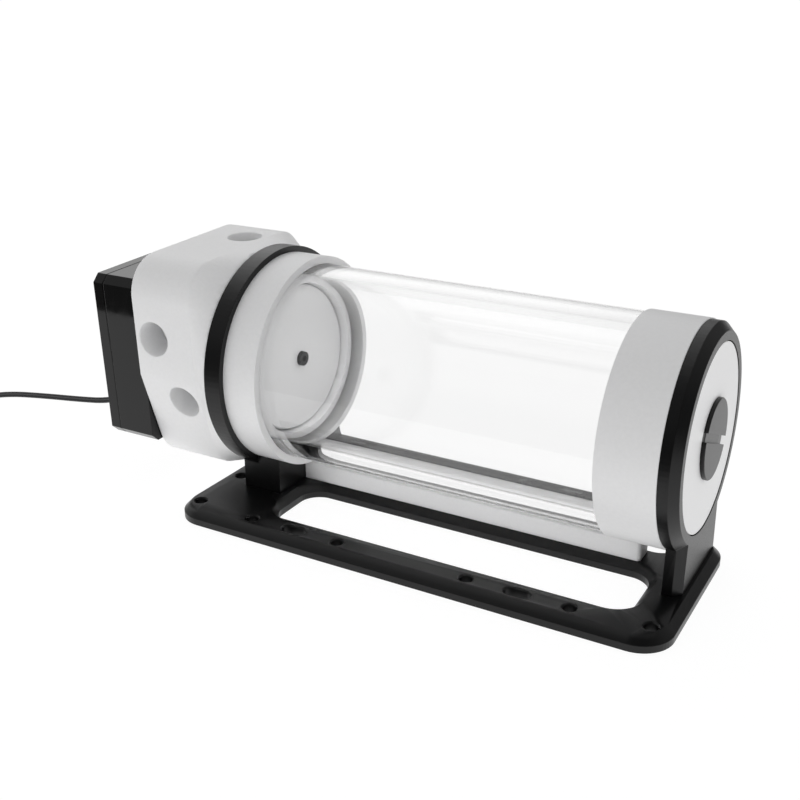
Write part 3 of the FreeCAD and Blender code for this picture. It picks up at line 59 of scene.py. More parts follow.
# %% [markdown]
# ## The camera
#
# The photograph was taken from the right, a little above the object. A camera can be moved by hand
# until the picture looks alike, but here its place, its two turns and its focal length were found
# by fitting the plate, the rings and the tube to the picture, because only then do all the edges
# fall on their pixels together. The picture's middle is a few pixels away from the lens's axis,
# which is what the small shift is.

# %% The camera's measures
CAMERA_PLACE = Vector((166.7, -336.7, 196.8)) * MM
CAMERA_YAW = math.radians(-29.36)
CAMERA_PITCH = math.radians(21.05)
FOCAL_PIXELS = 1117.03
PICTURE_PIXELS = 800
AXIS_PIXEL = (403.8, 391.42)
SENSOR_WIDTH = 36.0
NEAREST_SEEN, FARTHEST_SEEN = 0.01, 20.0
print("camera at", [round(v, 4) for v in CAMERA_PLACE])

# %% [markdown]
# ## Turning the camera
#
# Blender's camera looks along its own minus Z, with the picture's right and top along its X and Y.
# The three directions are worked out from the turns and put side by side in a matrix, which is
# plainer than finding the Euler angles that give the same view.

# %% The camera at the photograph's viewpoint
view_ahead = Vector(
    (
        math.sin(CAMERA_YAW) * math.cos(CAMERA_PITCH),
        math.cos(CAMERA_YAW) * math.cos(CAMERA_PITCH),
        -math.sin(CAMERA_PITCH),
    )
)
view_right = Vector((math.cos(CAMERA_YAW), -math.sin(CAMERA_YAW), 0.0))
view_up = view_right.cross(view_ahead)
lens = bpy.data.cameras.new("camera")
lens.sensor_width = SENSOR_WIDTH
lens.lens = SENSOR_WIDTH * FOCAL_PIXELS / PICTURE_PIXELS
lens.shift_x = -(AXIS_PIXEL[0] - PICTURE_PIXELS / 2) / PICTURE_PIXELS
lens.shift_y = (AXIS_PIXEL[1] - PICTURE_PIXELS / 2) / PICTURE_PIXELS
lens.clip_start = NEAREST_SEEN
lens.clip_end = FARTHEST_SEEN
camera = bpy.data.objects.new("camera", lens)
bpy.context.scene.collection.objects.link(camera)
turn = Matrix((view_right, view_up, -view_ahead)).transposed()
camera.matrix_world = Matrix.Translation(CAMERA_PLACE) @ turn.to_4x4()
bpy.context.scene.camera = camera
print("lens %.2f mm, shift %.4f %.4f" % (lens.lens, lens.shift_x, lens.shift_y))

# %% [markdown]
# ## The pump's lead
#
# The lead is a flat one: two insulated wires side by side, 2.5 mm wide. It leaves the pump's rear
# cover, sags to the floor and goes out of the picture on the left. The picture shows a few
# centimetres; such a pump has about 0.55 m, so the rest is wound in a tied coil on the floor. A
# rope simulation could lay it down, but a route of points gives the same coil each time and has the
# length that is asked for.

# %% The lead's route, in millimetres
LEAD_WIDTH = 2.5 * MM
LEAD_Y = -18.0
COIL_X = -284.0
COIL_RADIUS = 14.0
COIL_Z = 3.7
COIL_TURNS = 4
POINTS_A_TURN = 14
TURNS_DONE = [0, 0.5, 1.0, 2.0, 3.0, 4.0, 4.5]
OUTWARD_THERE = [0, 1.2, 1.3, -0.9, -0.9, 1.3, 0.9]
UPWARD_THERE = [0, -1.3, -1.3, -1.3, 1.4, 1.4, 1.0]

approach = [
    (-136.2, LEAD_Y, 28.0),
    (-147.0, LEAD_Y, 28.0),
    (-157.0, LEAD_Y, 24.6),
    (-172.0, LEAD_Y, 22.5),
    (-192.0, LEAD_Y, 20.1),
    (-214.0, LEAD_Y, 17.0),
    (-234.0, LEAD_Y, 11.5),
    (-252.0, LEAD_Y, 5.6),
    (-268.0, LEAD_Y, COIL_Z),
]


def coil_points():
    """Turns about an upright axis: the angle grows evenly, and the radius and height step from one
    place in the bundle to the next as each turn ends. A smooth line of order 3 runs inside its
    control points, so the radius is divided by the square of the cosine of half a point's angle."""
    turns = np.arange(0, COIL_TURNS * POINTS_A_TURN + POINTS_A_TURN // 2) / POINTS_A_TURN
    radius = COIL_RADIUS + np.interp(turns, TURNS_DONE, OUTWARD_THERE)
    height = COIL_Z + np.interp(turns, TURNS_DONE, UPWARD_THERE)
    angle = turns * 2 * math.pi
    grown = radius / math.cos(math.pi / POINTS_A_TURN) ** 2
    x = COIL_X - grown * np.sin(angle)
    y = LEAD_Y - COIL_RADIUS + grown * np.cos(angle)
    return np.stack([x, y, height], axis=1)


far_y = LEAD_Y - 2 * COIL_RADIUS
tail = [(COIL_X + 8.0, far_y - 0.6, COIL_Z), (COIL_X + 26.0, far_y, COIL_Z)]
route = np.vstack([approach, coil_points(), tail]) * MM
print("route:", len(route), "points")

# %% [markdown]
# ## A smooth line through the route
#
# A real lead has no corners. Each corner of the route could be rounded by an arc, but arcs joined
# to straight runs look like bent wire. One NURBS curve with the route's points as its control
# points bends a little everywhere instead, and Blender then gives back the points along it.

# %% The lead's line
def nurbs_line(name, points):
    """A curve object with one open NURBS spline of order 3, with the points as control points."""
    data = bpy.data.curves.new(name, "CURVE")
    data.dimensions = "3D"
    data.resolution_u = 8
    spline = data.splines.new("NURBS")
    spline.points.add(len(points) - 1)
    spline.points.foreach_set("co", np.c_[points, np.ones(len(points))].ravel())
    spline.order_u = 3
    spline.use_endpoint_u = True
    line = bpy.data.objects.new(name, data)
    bpy.context.scene.collection.objects.link(line)
    return line


def points_of(line):
    """The points that Blender works out along a curve with no bevel."""
    graph = bpy.context.evaluated_depsgraph_get()
    mesh = bpy.data.meshes.new_from_object(line.evaluated_get(graph))
    found = np.empty(len(mesh.vertices) * 3)
    mesh.vertices.foreach_get("co", found)
    bpy.data.meshes.remove(mesh)
    return found.reshape(-1, 3)


lead_line = nurbs_line("lead_line", route)
lead_path = points_of(lead_line)
bpy.data.objects.remove(lead_line)

# %% [markdown]
# ## From a formula to a mesh
#
# Every new piece is a surface: a formula gives a point for each pair of values u and v, and numpy
# works out the whole grid at once, which is faster than placing points one by one. The grid's
# neighbours are joined by four-sided faces. A lead is closed round v and gets a lid at its two
# ends; a turned ring is closed both ways.

# %% A grid of points becomes a mesh
def surface(name, grid, close_u=False, close_v=False, lids=False):
    """A smooth mesh from a grid of points, rows along u and columns along v, with one four-sided
    face between each point and its next neighbours. A closed direction joins its last line to its
    first, lids close the first and last rows, and the faces' order makes the volume positive, so
    that they point outwards."""
    rows, columns = grid.shape[:2]
    u = np.arange(rows if close_u else rows - 1)
    v = np.arange(columns if close_v else columns - 1)
    u0, v0 = np.meshgrid(u, v, indexing="ij")
    u1, v1 = (u0 + 1) % rows, (v0 + 1) % columns
    sides = [u0 * columns + v0, u1 * columns + v0, u1 * columns + v1, u0 * columns + v1]
    faces = np.stack(sides, axis=-1).reshape(-1, 4)
    points = grid.reshape(-1, 3)
    last = len(points) - 1
    ends = [np.arange(columns), np.arange(last, last - columns, -1)] if lids else []
    a, b, c, d = (points[faces[:, side]] - points.mean(axis=0) for side in range(4))
    volume = np.einsum("ij,ij->", a, np.cross(b, c)) + np.einsum("ij,ij->", a, np.cross(c, d))
    order = slice(None, None, 1 if volume > 0 else -1)
    faces = [*faces[:, order].tolist(), *[end[order].tolist() for end in ends]]
    mesh = bpy.data.meshes.new(name)
    mesh.from_pydata(points, [], faces)
    mesh.polygons.foreach_set("use_smooth", np.ones(len(mesh.polygons), bool))
    piece = bpy.data.objects.new(name, mesh)
    bpy.context.scene.collection.objects.link(piece)
    print(name, "faces", len(faces))
    return piece


# %% [markdown]
# ## The lead itself
#
# The real lead is extruded: two round copper wires run side by side through one die, and the
# plastic round them joins in a thin web. A curve's bevel would give a plain round cord. So its
# section is two circles that touch, and the surface is that section carried along the line. It
# replaces the plain tubes and the coil's ring of the CAD model.

# %% The two wires of the lead
SECTION_POINTS = 24
WEB = 0.32
EVENNESS = 0.9


def twin_section(count, width):
    """A closed outline of two touching circles of radius r, a quarter of the width, side by side.
    At angle a it lies 2 r |cos a|^0.9 across, on the side of cos a, and there it is as thick as the
    circle, sqrt(r^2 - (across - r)^2), or as the web between the two where that is thicker."""
    angle = np.linspace(0, 2 * math.pi, count, endpoint=False)
    r = width / 4
    across = r * np.abs(np.cos(angle)) ** EVENNESS * np.sign(np.cos(angle)) * 2
    side = np.sqrt(np.clip(r * r - (np.abs(across) - r) ** 2, 0, None))
    thick = np.maximum(side, WEB * r) * np.sign(np.sin(angle))
    thick[np.abs(np.cos(angle)) > 0.999] = 0
    return across, thick


def carried(path, across, thick):
    """A section carried along a path: at each point the path's heading is crossed with the upward
    direction to give the two directions that the section lies in."""
    heading = np.gradient(path, axis=0)
    heading /= np.linalg.norm(heading, axis=1, keepdims=True)
    level = np.cross(heading, [0.0, 0.0, 1.0])
    level /= np.linalg.norm(level, axis=1, keepdims=True)
    upward = np.cross(level, heading)
    raised = path[:, None, :] + upward[:, None, :] * across[None, :, None]
    return raised + level[:, None, :] * thick[None, :, None]


across, thick = twin_section(SECTION_POINTS, LEAD_WIDTH)
lead = surface("lead", carried(lead_path, across, thick), close_v=True, lids=True)
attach(lead, "reservoir")
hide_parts("cable", "cable_coil", "cable_tail")

# %% [markdown]
# ## Nodes
#
# Blender's light and finishes are drawn as trees of nodes. They can be placed and joined with the
# mouse; in code the same few lines come back for each node, so one helper makes a node, sets it up
# and joins it to what comes before it.

# %% A helper that makes one node
def new_node(tree, kind, inputs=None, links=None, **settings):
    """A node of a kind: its settings and the values of its inputs by name, and the outputs of other
    nodes that are joined to its inputs."""
    node = tree.nodes.new("ShaderNode" + kind)
    for setting, value in settings.items():
        setattr(node, setting, value)
    for socket, value in (inputs or {}).items():
        node.inputs[socket].default_value = value
    for socket, source in (links or {}).items():
        tree.links.new(source, node.inputs[socket])
    return node


print("node helper ready")

# %% [markdown]
# ## The room's light
#
# The photograph was lit by a studio that isn't seen. Large lamps and screens could be built, but
# the clear tube would show each of them, so the light comes from the world: a glow that depends on
# the direction that a ray takes. Blender samples a world as it does a lamp, unless it is told not
# to, and here it is, because this glow isn't the same for every kind of ray. A few small functions
# make it readable.

# %% The room and its building blocks
bpy.context.scene.view_settings.view_transform = "Standard"
world = bpy.data.worlds.new("white_room")
bpy.context.scene.world = world
world.use_nodes = True
world.cycles.sampling_method = "NONE"
room = world.node_tree
room.nodes.remove(room.nodes["Background"])
PURE_WHITE = (1.0, 1.0, 1.0, 1.0)

direction = new_node(room, "TexCoord").outputs["Generated"]
heading = new_node(room, "SeparateXYZ", links={"Vector": direction}).outputs
ray_kind = new_node(room, "LightPath").outputs


def along(axis, low, high, glow_low, glow_high):
    """A smooth step of a ray's heading along an axis: from low to high, glow_low to glow_high."""
    span = {"From Min": low, "From Max": high, "To Min": glow_low, "To Max": glow_high}
    links = {"Value": heading[axis]}
    step = new_node(room, "MapRange", span, links, interpolation_type="SMOOTHSTEP")
    return step.outputs["Result"]


def combined(operation, first, second):
    """Two values put together by a math operation."""
    return new_node(room, "Math", links={0: first, 1: second}, operation=operation).outputs["Value"]


def glow(strength):
    """A white background shader with a strength that is a number or another node's value."""
    if isinstance(strength, float):
        shader = new_node(room, "Background", {"Color": PURE_WHITE, "Strength": strength})
    else:
        shader = new_node(room, "Background", {"Color": PURE_WHITE}, {"Strength": strength})
    return shader.outputs["Background"]


def chosen(choice, first, second):
    """The first shader where the choice is 0, and the second where it is 1."""
    links = {"Fac": choice, 1: first, 2: second}
    return new_node(room, "MixShader", links=links).outputs["Shader"]


print("room:", world.name)

# %% [markdown]
# ## Five glows in one room
#
# Light comes from above, from behind and up from the ground, while the room on the camera's side is
# darker: the black case shows that in its reflection. No single glow gives all of that, so each
# kind of ray meets its own. The camera sees plain white. Seen through the clear tube, the room is a
# little greyer, and greyer still overhead, which draws the tube's upper edge. Light that reaches a
# matt surface through the tube's wall is stronger, because the wall takes a part of it. Other light
# on matt surfaces is even, and dimmer overhead and on the right. Glossy reflections see a room that
# is bright behind and high up, and dim in front and on the right.

# %% The five glows
BACKGROUND_GLOW = 1.02
BEHIND_WALL_GLOW = 1.8

seen_clear = along("Z", 0.05, 0.75, 0.93, 0.70)
soft_light = combined("ADD", along("Z", 0.2, 1.0, 0.0, -0.28), along("X", -1.0, 1.0, 0.79, 0.66))
gloss_behind = along("Y", -0.45, 0.45, 0.25, 1.1)
gloss_left = along("X", -0.40, -0.10, 1.0, 0.20)
gloss_high = along("Z", 0.10, 0.45, 0.45, 1.5)
mirrored = combined("MULTIPLY", combined("MULTIPLY", gloss_behind, gloss_high), gloss_left)
in_gloss = combined("MULTIPLY", ray_kind["Is Reflection Ray"], ray_kind["Is Glossy Ray"])
through = chosen(ray_kind["Diffuse Depth"], glow(seen_clear), glow(BEHIND_WALL_GLOW))
seen = chosen(ray_kind["Is Transmission Ray"], glow(BACKGROUND_GLOW), through)
seen = chosen(ray_kind["Is Diffuse Ray"], seen, glow(soft_light))
seen = chosen(in_gloss, seen, glow(mirrored))
room.links.new(seen, room.nodes["World Output"].inputs["Surface"])
print("room's nodes:", len(room.nodes))

# %% [markdown]
# ## The ground
#
# The photograph's ground is as white as its background, with hardly a shadow. A lit white plane
# would turn grey under the object, so the ground is dark for the light that falls on it and glows
# by itself. It ends a little in front of the object, because the lower faces reflect a ground that
# is dark there.

# %% The ground
FLOOR_FRONT, FLOOR_BACK, FLOOR_SIDE = -0.175, 2.0, 2.0
FLOOR_HEIGHT = -0.2 * MM
floor_mesh = bpy.data.meshes.new("floor")
corners = [(-1, FLOOR_FRONT), (1, FLOOR_FRONT), (1, FLOOR_BACK), (-1, FLOOR_BACK)]
floor_points = [(side * FLOOR_SIDE, y, FLOOR_HEIGHT) for side, y in corners]
floor_mesh.from_pydata(floor_points, [], [(0, 1, 2, 3)])
floor = bpy.data.objects.new("floor", floor_mesh)
bpy.context.scene.collection.objects.link(floor)
print("ground from y =", FLOOR_FRONT, "to", FLOOR_BACK)

# %% [markdown]
# ## One weak lamp
#
# A room that glows from all sides gives no shape to the ports and the plug's slot. One large soft
# lamp above adds a faint shadow there. A small or strong lamp would draw a hard edge in the gloss.

# %% The lamp overhead
LAMP_PLACE, LAMP_AIM = Vector((0.1, 0.1, 1.0)), Vector((0.0, 0.0, 0.05))
softbox = bpy.data.lights.new("top_softbox", "AREA")
softbox.shape = "RECTANGLE"
softbox.size, softbox.size_y = 1.2, 0.8
softbox.energy = 0.3
lamp = bpy.data.objects.new("top_softbox", softbox)
lamp.location = LAMP_PLACE
lamp.rotation_mode = "QUATERNION"
lamp.rotation_quaternion = (LAMP_AIM - LAMP_PLACE).to_track_quat("-Z", "Y")
lamp.visible_camera = False
bpy.context.scene.collection.objects.link(lamp)
print("lamp:", softbox.energy, "W")

# %% [markdown]
# ## Round pieces
#
# The tube is drawn and the end cap is turned on a lathe, so each is one profile carried round the
# tube's axis. A tool leaves no razor edge: every corner of the profile gets a small round, and that
# round is what catches the light. A Bevel modifier could round them too, but on the profile it is
# done before the surface is made. Sizes come from the frame's own boxes.

# %% The tube's axis and rounded outlines
AXIS_HEIGHT = float(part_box("tube")[0][2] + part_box("tube")[1][2]) / 2
EDGE = 0.25 * MM
CORNER_POINTS = 4
LARGEST_CUT = 0.45


def rounded_profile(corners):
    """A closed outline whose corners are cut by a curve from one side to the next: each is a
    quadratic blend (1-t)^2 a + 2t(1-t) p + t^2 b of the corner p and the two points a and b that
    lie an edge's radius away from it along its sides, or less where a side is too short."""
    p = np.array(corners, float)
    back = np.roll(p, 1, axis=0) - p
    ahead = np.roll(p, -1, axis=0) - p
    run = np.linalg.norm(np.stack([back, ahead]), axis=2)
    cut = np.minimum(EDGE, LARGEST_CUT * run.min(axis=0))[:, None]
    a = p + back / run[0][:, None] * cut
    b = p + ahead / run[1][:, None] * cut
    t = np.linspace(0, 1, CORNER_POINTS)[None, :, None]
    blend = (1 - t) ** 2 * a[:, None] + 2 * t * (1 - t) * p[:, None] + t**2 * b[:, None]
    return blend.reshape(-1, 2)


print("axis at z = %.2f mm" % (AXIS_HEIGHT / MM))

# %% [markdown]
# ## Flat faces that look flat
#
# Smooth shading blends the direction of a face into its neighbours, so a flat face next to a round
# one looks bulged. The Weighted Normal modifier lets the larger face win. It is applied at once,
# since the exported model keeps the mesh and its normals, and no live modifier is left to differ.

# %% Shading set right
def trued(piece, crease):
    """Sharp edges only where faces turn by more than the crease angle, and at every other point a
    normal that is the mean of its faces' normals weighted by their areas, so flats stay flat."""
    piece.data.set_sharp_from_angle(angle=math.radians(crease))
    flats = piece.modifiers.new("flats", "WEIGHTED_NORMAL")
    flats.mode = "FACE_AREA"
    flats.weight = 50
    flats.keep_sharp = True
    graph = bpy.context.evaluated_depsgraph_get()
    mesh = bpy.data.meshes.new_from_object(
        piece.evaluated_get(graph), preserve_all_data_layers=True, depsgraph=graph
    )
    piece.modifiers.clear()
    piece.data = mesh
    return piece


TURNED_CREASE, MILLED_CREASE = 25.0, 24.0
print("crease angles:", TURNED_CREASE, MILLED_CREASE)

# %% [markdown]
# ## The lathe
#
# Blender's Screw modifier turns a profile too. A formula gives the same ring with its points
# already in metres round the tube's axis, and closed both ways, so there is no seam to merge.

# %% A profile carried round the axis
POINTS_ROUND = 256


def lathe(name, profile):
    """A profile of along, radius pairs carried round the tube's axis: a point at angle a is at
    x = along, y = radius cos a, z = axis height + radius sin a."""
    angle = np.linspace(0, 2 * math.pi, POINTS_ROUND, endpoint=False)
    x = np.broadcast_to(profile[:, 0, None], (len(profile), POINTS_ROUND))
    y = profile[:, 1, None] * np.cos(angle)
    z = AXIS_HEIGHT + profile[:, 1, None] * np.sin(angle)
    piece = surface(name, np.stack([x, y, z], axis=-1), close_u=True, close_v=True)
    return trued(piece, TURNED_CREASE)


print("points round a turned piece:", POINTS_ROUND)

# %% [markdown]
# ## The clear tube
#
# The tube is extruded acrylic, cut square. Its profile is a plain rectangle from the bore to the
# outside. A single outer skin would be easier, but what shows a clear tube is its refraction: the
# wall bends the white ground and the white pieces behind it, so the wall's true thickness decides
# where each edge appears.

# %% The tube
TUBE_WALL = 5.0 * MM
tube_low, tube_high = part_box("tube")
TUBE_R = (tube_high[1] - tube_low[1]) / 2
TUBE_BORE = TUBE_R - TUBE_WALL
tube_corners = [
    (tube_low[0], TUBE_BORE),
    (tube_high[0], TUBE_BORE),
    (tube_high[0], TUBE_R),
    (tube_low[0], TUBE_R),
]
tube = lathe("clear_tube", rounded_profile(tube_corners))
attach(tube, "reservoir")
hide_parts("tube")

# %% [markdown]
# ## The end cap
#
# The cap is turned from white acetal. Its collar reaches over the tube's end, its spigot goes
# inside with a seal groove, and a smaller boss stands in the right bracket's ring with the plug's
# hole in the middle. It could be cut from a cylinder by booleans, but one closed profile holds all
# of it, in the order that the lathe tool would follow, and leaves clean faces.

# %% The end cap's measures
cap_low, cap_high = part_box("end_cap")
ring_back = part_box("right_bracket")[0][0]
cap_face = cap_high[0]
FIT_GAP = 0.1 * MM
COLLAR_R = (cap_high[1] - cap_low[1]) / 2
BOSS_R = COLLAR_R - 6.6 * MM
SOCKET_R = TUBE_R + FIT_GAP
SPIGOT_R = TUBE_BORE - FIT_GAP
HOLLOW_R = SPIGOT_R - 3.0 * MM
GROOVE_R = SPIGOT_R - 1.6 * MM
PLUG_HOLE_R, PLUG_SEAT_R = 10.05 * MM, 12.5 * MM
plug_seat = cap_face - 1.2 * MM
hollow_end = cap_face - 10.2 * MM
spigot_end = cap_low[0] + 3.5 * MM
socket_end = ring_back - 3.0 * MM
groove_left = ring_back - 8.1 * MM
groove_right = groove_left + 2.2 * MM
print("cap: collar %.2f mm, boss %.2f mm in radius" % (COLLAR_R / MM, BOSS_R / MM))

# %% [markdown]
# ## The cap's outline
#
# The outline starts at the collar's left edge and runs over the outside to the face, down to the
# plug's seat and hole, and back inside along the hollow. It goes round the spigot's end and its
# groove, and ends in the socket that holds the tube. A few ready-made rings would leave gaps and
# hidden faces between them; given corner by corner, it reads like the drawing of the real cap.

# %% The end cap
cap_corners = [
    (cap_low[0], COLLAR_R),
    (ring_back, COLLAR_R),
    (ring_back, BOSS_R),
    (cap_face, BOSS_R),
    (cap_face, PLUG_SEAT_R),
    (plug_seat, PLUG_SEAT_R),
    (plug_seat, PLUG_HOLE_R),
    (hollow_end, PLUG_HOLE_R),
    (hollow_end, HOLLOW_R),
    (spigot_end, HOLLOW_R),
    (spigot_end, SPIGOT_R),
    (groove_left, SPIGOT_R),
    (groove_left, GROOVE_R),
    (groove_right, GROOVE_R),
    (groove_right, SPIGOT_R),
    (socket_end, SPIGOT_R),
    (socket_end, SOCKET_R),
    (cap_low[0], SOCKET_R),
]
end_cap = lathe("white_end_cap", rounded_profile(cap_corners))
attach(end_cap, "reservoir")
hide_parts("end_cap")

# %% [markdown]
# ## Milled and moulded pieces
#
# The other pieces have their right shape in the CAD model already, but as loose flat triangles,
# which show as facets on a round face. Making them again would only risk a difference. So a copy of
# each has its equal corners merged, and every edge that turns by less than a crease angle is shaded
# round, as the cutter left it. The CAD node itself isn't touched.

# %% Smooth copies of the CAD nodes
SAME_POINT = 0.002 * MM


def smoothed(node, body):
    """A copy of a node's mesh with equal corners merged and only its real edges left sharp."""
    mesh = frame["nodes"][node].data.copy()
    mesh.materials.clear()
    build = bmesh.new()
    build.from_mesh(mesh)
    bmesh.ops.remove_doubles(build, verts=build.verts, dist=SAME_POINT)
    build.to_mesh(mesh)
    build.free()
    mesh.polygons.foreach_set("use_smooth", np.ones(len(mesh.polygons), bool))
    piece = bpy.data.objects.new(node + "_finished", mesh)
    bpy.context.scene.collection.objects.link(piece)
    trued(piece, MILLED_CREASE)
    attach(piece, body)
    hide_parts(node)
    print(node, "triangles", len(piece.data.polygons))
    return piece


SLOT_OF_NODE = {part["node"]: part["material_slot"] for part in frame["record"]["subparts"]}
BODY_OF_SMOOTHED = {
    "pump_top": "reservoir",
    "base_plate": "reservoir",
    "left_bracket": "reservoir",
    "right_bracket": "reservoir",
    "centre_bar": "reservoir",
    "anti_vortex_disc": "reservoir",
    "pump_housing": "reservoir",
    "pump_lid": "reservoir",
    "fill_plug": "plug",
}
finished = {
    node: smoothed(node, body) for node, body in BODY_OF_SMOOTHED.items()
}

# %% [markdown]
# ## Finishes
#
# Each finish is one shader with its detail made by nodes. Pictures of real surfaces could be laid
# on instead, but nodes have no seams and no fixed size. Every finish starts from a colour and a
# roughness.

# %% A helper that starts a finish
def finish_named(name, color, roughness, **sockets):
    """A Principled material with a base colour, a roughness and any other sockets by name."""
    material = bpy.data.materials.new(name)
    material.use_nodes = True
    shader = material.node_tree.nodes["Principled BSDF"]
    shader.inputs["Base Color"].default_value = (*color, 1.0)
    shader.inputs["Roughness"].default_value = roughness
    for socket, value in sockets.items():
        shader.inputs[socket.replace("_", " ")].default_value = value
    return material


print("finish helper ready")

# %% [markdown]
# ## Grain
#
# No surface is perfectly even: machined plastic, anodised metal and moulded parts all have a fine
# grain that breaks up the light. Displaced points would need millions of faces, so noise bends the
# shading instead. Its coordinates are the piece's own, and the grain stays on the piece when it
# moves. A bevel normal rounds the look of each sharp edge by a fraction of a millimetre, because no
# machined or moulded edge is perfectly sharp.

# %% A helper that adds grain
NOISE_LOW, NOISE_HIGH = 0.3, 0.7


def grain(material, size, depth, tint, rough, edge=0.0):
    """Fine noise in the piece's own space lifts the surface, and varies its colour and gloss."""
    tree = material.node_tree
    shader = tree.nodes["Principled BSDF"]
    place = new_node(tree, "TexCoord").outputs["Object"]
    scale = {"Scale": 1.0 / size, "Detail": 3.0}
    noise = new_node(tree, "TexNoise", scale, {"Vector": place}).outputs["Fac"]
    bump = new_node(tree, "Bump", {"Strength": 1.0, "Distance": depth}, {"Height": noise})
    tree.links.new(bump.outputs["Normal"], shader.inputs["Normal"])
    if edge:
        soft_edge = new_node(tree, "Bevel", {"Radius": edge}, samples=4)
        tree.links.new(soft_edge.outputs["Normal"], bump.inputs["Normal"])
    color = tuple(shader.inputs["Base Color"].default_value)[:3]
    ramp = new_node(tree, "ValToRGB", links={"Fac": noise})
    dark, light = ramp.color_ramp.elements
    dark.position, light.position = NOISE_LOW, NOISE_HIGH
    dark.color = (*[c * (1 - tint) for c in color], 1)
    light.color = (*[min(1, c * (1 + tint)) for c in color], 1)
    tree.links.new(ramp.outputs["Color"], shader.inputs["Base Color"])
    base = shader.inputs["Roughness"].default_value
    span = {"From Min": NOISE_LOW, "From Max": NOISE_HIGH}
    span.update({"To Min": base - rough, "To Max": base + rough})
    spread = new_node(tree, "MapRange", span, {"Value": noise})
    tree.links.new(spread.outputs["Result"], shader.inputs["Roughness"])
    return material


print("noise used from", NOISE_LOW, "to", NOISE_HIGH)

# %% [markdown]
# ## The lathe's rings
#
# A turned face carries the tool's path as very fine rings, which give white acetal its soft sheen.
# They could be cut into the mesh, but they are a few thousandths of a millimetre deep, so a wave
# pattern round the tube's axis bends the shading under the grain.

# %% A helper that adds turning marks
def turning_marks(material, spacing, depth):
    """Rings round the tube's axis, as a lathe tool leaves them, added under the grain. A wave
    pattern of scale s repeats every 2 pi / (20 s)."""
    tree = material.node_tree
    bump = next(node for node in tree.nodes if node.type == "BUMP")
    place = next(node for node in tree.nodes if node.type == "TEX_COORD")
    under = bump.inputs["Normal"].links[0].from_socket
    to_axis = {"Location": (0.0, 0.0, -AXIS_HEIGHT)}
    centre = new_node(tree, "Mapping", to_axis, {"Vector": place.outputs["Object"]})
    rings = new_node(
        tree,
        "TexWave",
        {"Scale": 2 * math.pi / (20 * spacing), "Distortion": 1.5, "Detail": 1.0},
        {"Vector": centre.outputs["Vector"]},
        wave_type="RINGS",
        rings_direction="X",
    )
    lift = {"Strength": 1.0, "Distance": depth}
    marks = new_node(tree, "Bump", lift, {"Height": rings.outputs["Fac"], "Normal": under})
    tree.links.new(marks.outputs["Normal"], bump.inputs["Normal"])


print("ring helper ready")

# %% [markdown]
# ## The die's streaks
#
# A tube that is pushed through a die keeps faint streaks along its length. They are too shallow to
# model as faces, so noise that is stretched along the tube bends the shading by very little: more
# would make the straight edges behind the tube wavy, and the photograph shows them straight.

# %% A helper that adds streaks
def drawn_lines(material, width, length, depth):
    """Faint streaks along the tube's axis: noise in the piece's own space, one unit of it as long
    as length along x and as wide as width across, lifts the surface by at most the depth."""
    tree = material.node_tree
    place = new_node(tree, "TexCoord").outputs["Object"]
    scale = {"Scale": (1.0 / length, 1.0 / width, 1.0 / width)}
    stretched = new_node(tree, "Mapping", scale, {"Vector": place}).outputs["Vector"]
    noise = new_node(tree, "TexNoise", {"Scale": 1.0, "Detail": 1.0}, {"Vector": stretched})
    lift = {"Strength": 1.0, "Distance": depth}
    bump = new_node(tree, "Bump", lift, {"Height": noise.outputs["Fac"]})
    tree.links.new(bump.outputs["Normal"], tree.nodes["Principled BSDF"].inputs["Normal"])


print("streak helper ready")

# %% [markdown]
# ## The white pieces
#
# White acetal lets a little light in, so its shader scatters it a few millimetres deep. A plain
# white would look like paint. The end cap and the disc are thin and turned: scattering would make
# them grey at their edges, so they have none, and they carry the lathe's rings. Their white is a
# little darker than the other pieces' white: a painted shade for the dimmer light on them.

# %% White acetal
# The turned pieces' white is a little darker than the rest: a painted shade on the end cap and the
# disc.
WHITE, TURNED_WHITE_WITH_PAINTED_SHADE = (0.90, 0.90, 0.905), (0.87, 0.87, 0.875)
MILK = {
    "Subsurface_Weight": 0.35,
    "Subsurface_Radius": (1.0, 1.0, 0.95),
    "Subsurface_Scale": 3.0 * MM,
}
acetal = finish_named("white_acetal", WHITE, 0.42, **MILK)
grain(acetal, 1.2 * MM, 0.012 * MM, 0.015, 0.04, 0.4 * MM)
turned_acetal_painted_shade = finish_named("turned_acetal_painted_shade", TURNED_WHITE_WITH_PAINTED_SHADE, 0.42)
grain(turned_acetal_painted_shade, 1.2 * MM, 0.010 * MM, 0.015, 0.04, 0.3 * MM)
turning_marks(turned_acetal_painted_shade, spacing=0.4 * MM, depth=0.003 * MM)
print("white:", WHITE, "turned:", TURNED_WHITE_WITH_PAINTED_SHADE)

# %% [markdown]
# ## The black pieces and the clear tube
#
# The plate and the brackets are anodised aluminium, a thin dark layer with a fine satin grain. The
# case is a glossy moulding. Both are black enough that their reflections make the picture, so their
# gloss is set a little lower than the shader's usual value. The tube is clear acrylic with its
# refractive index. A fully clear one would be lost on the white ground, so it is very slightly
# grey, as the photograph shows it.

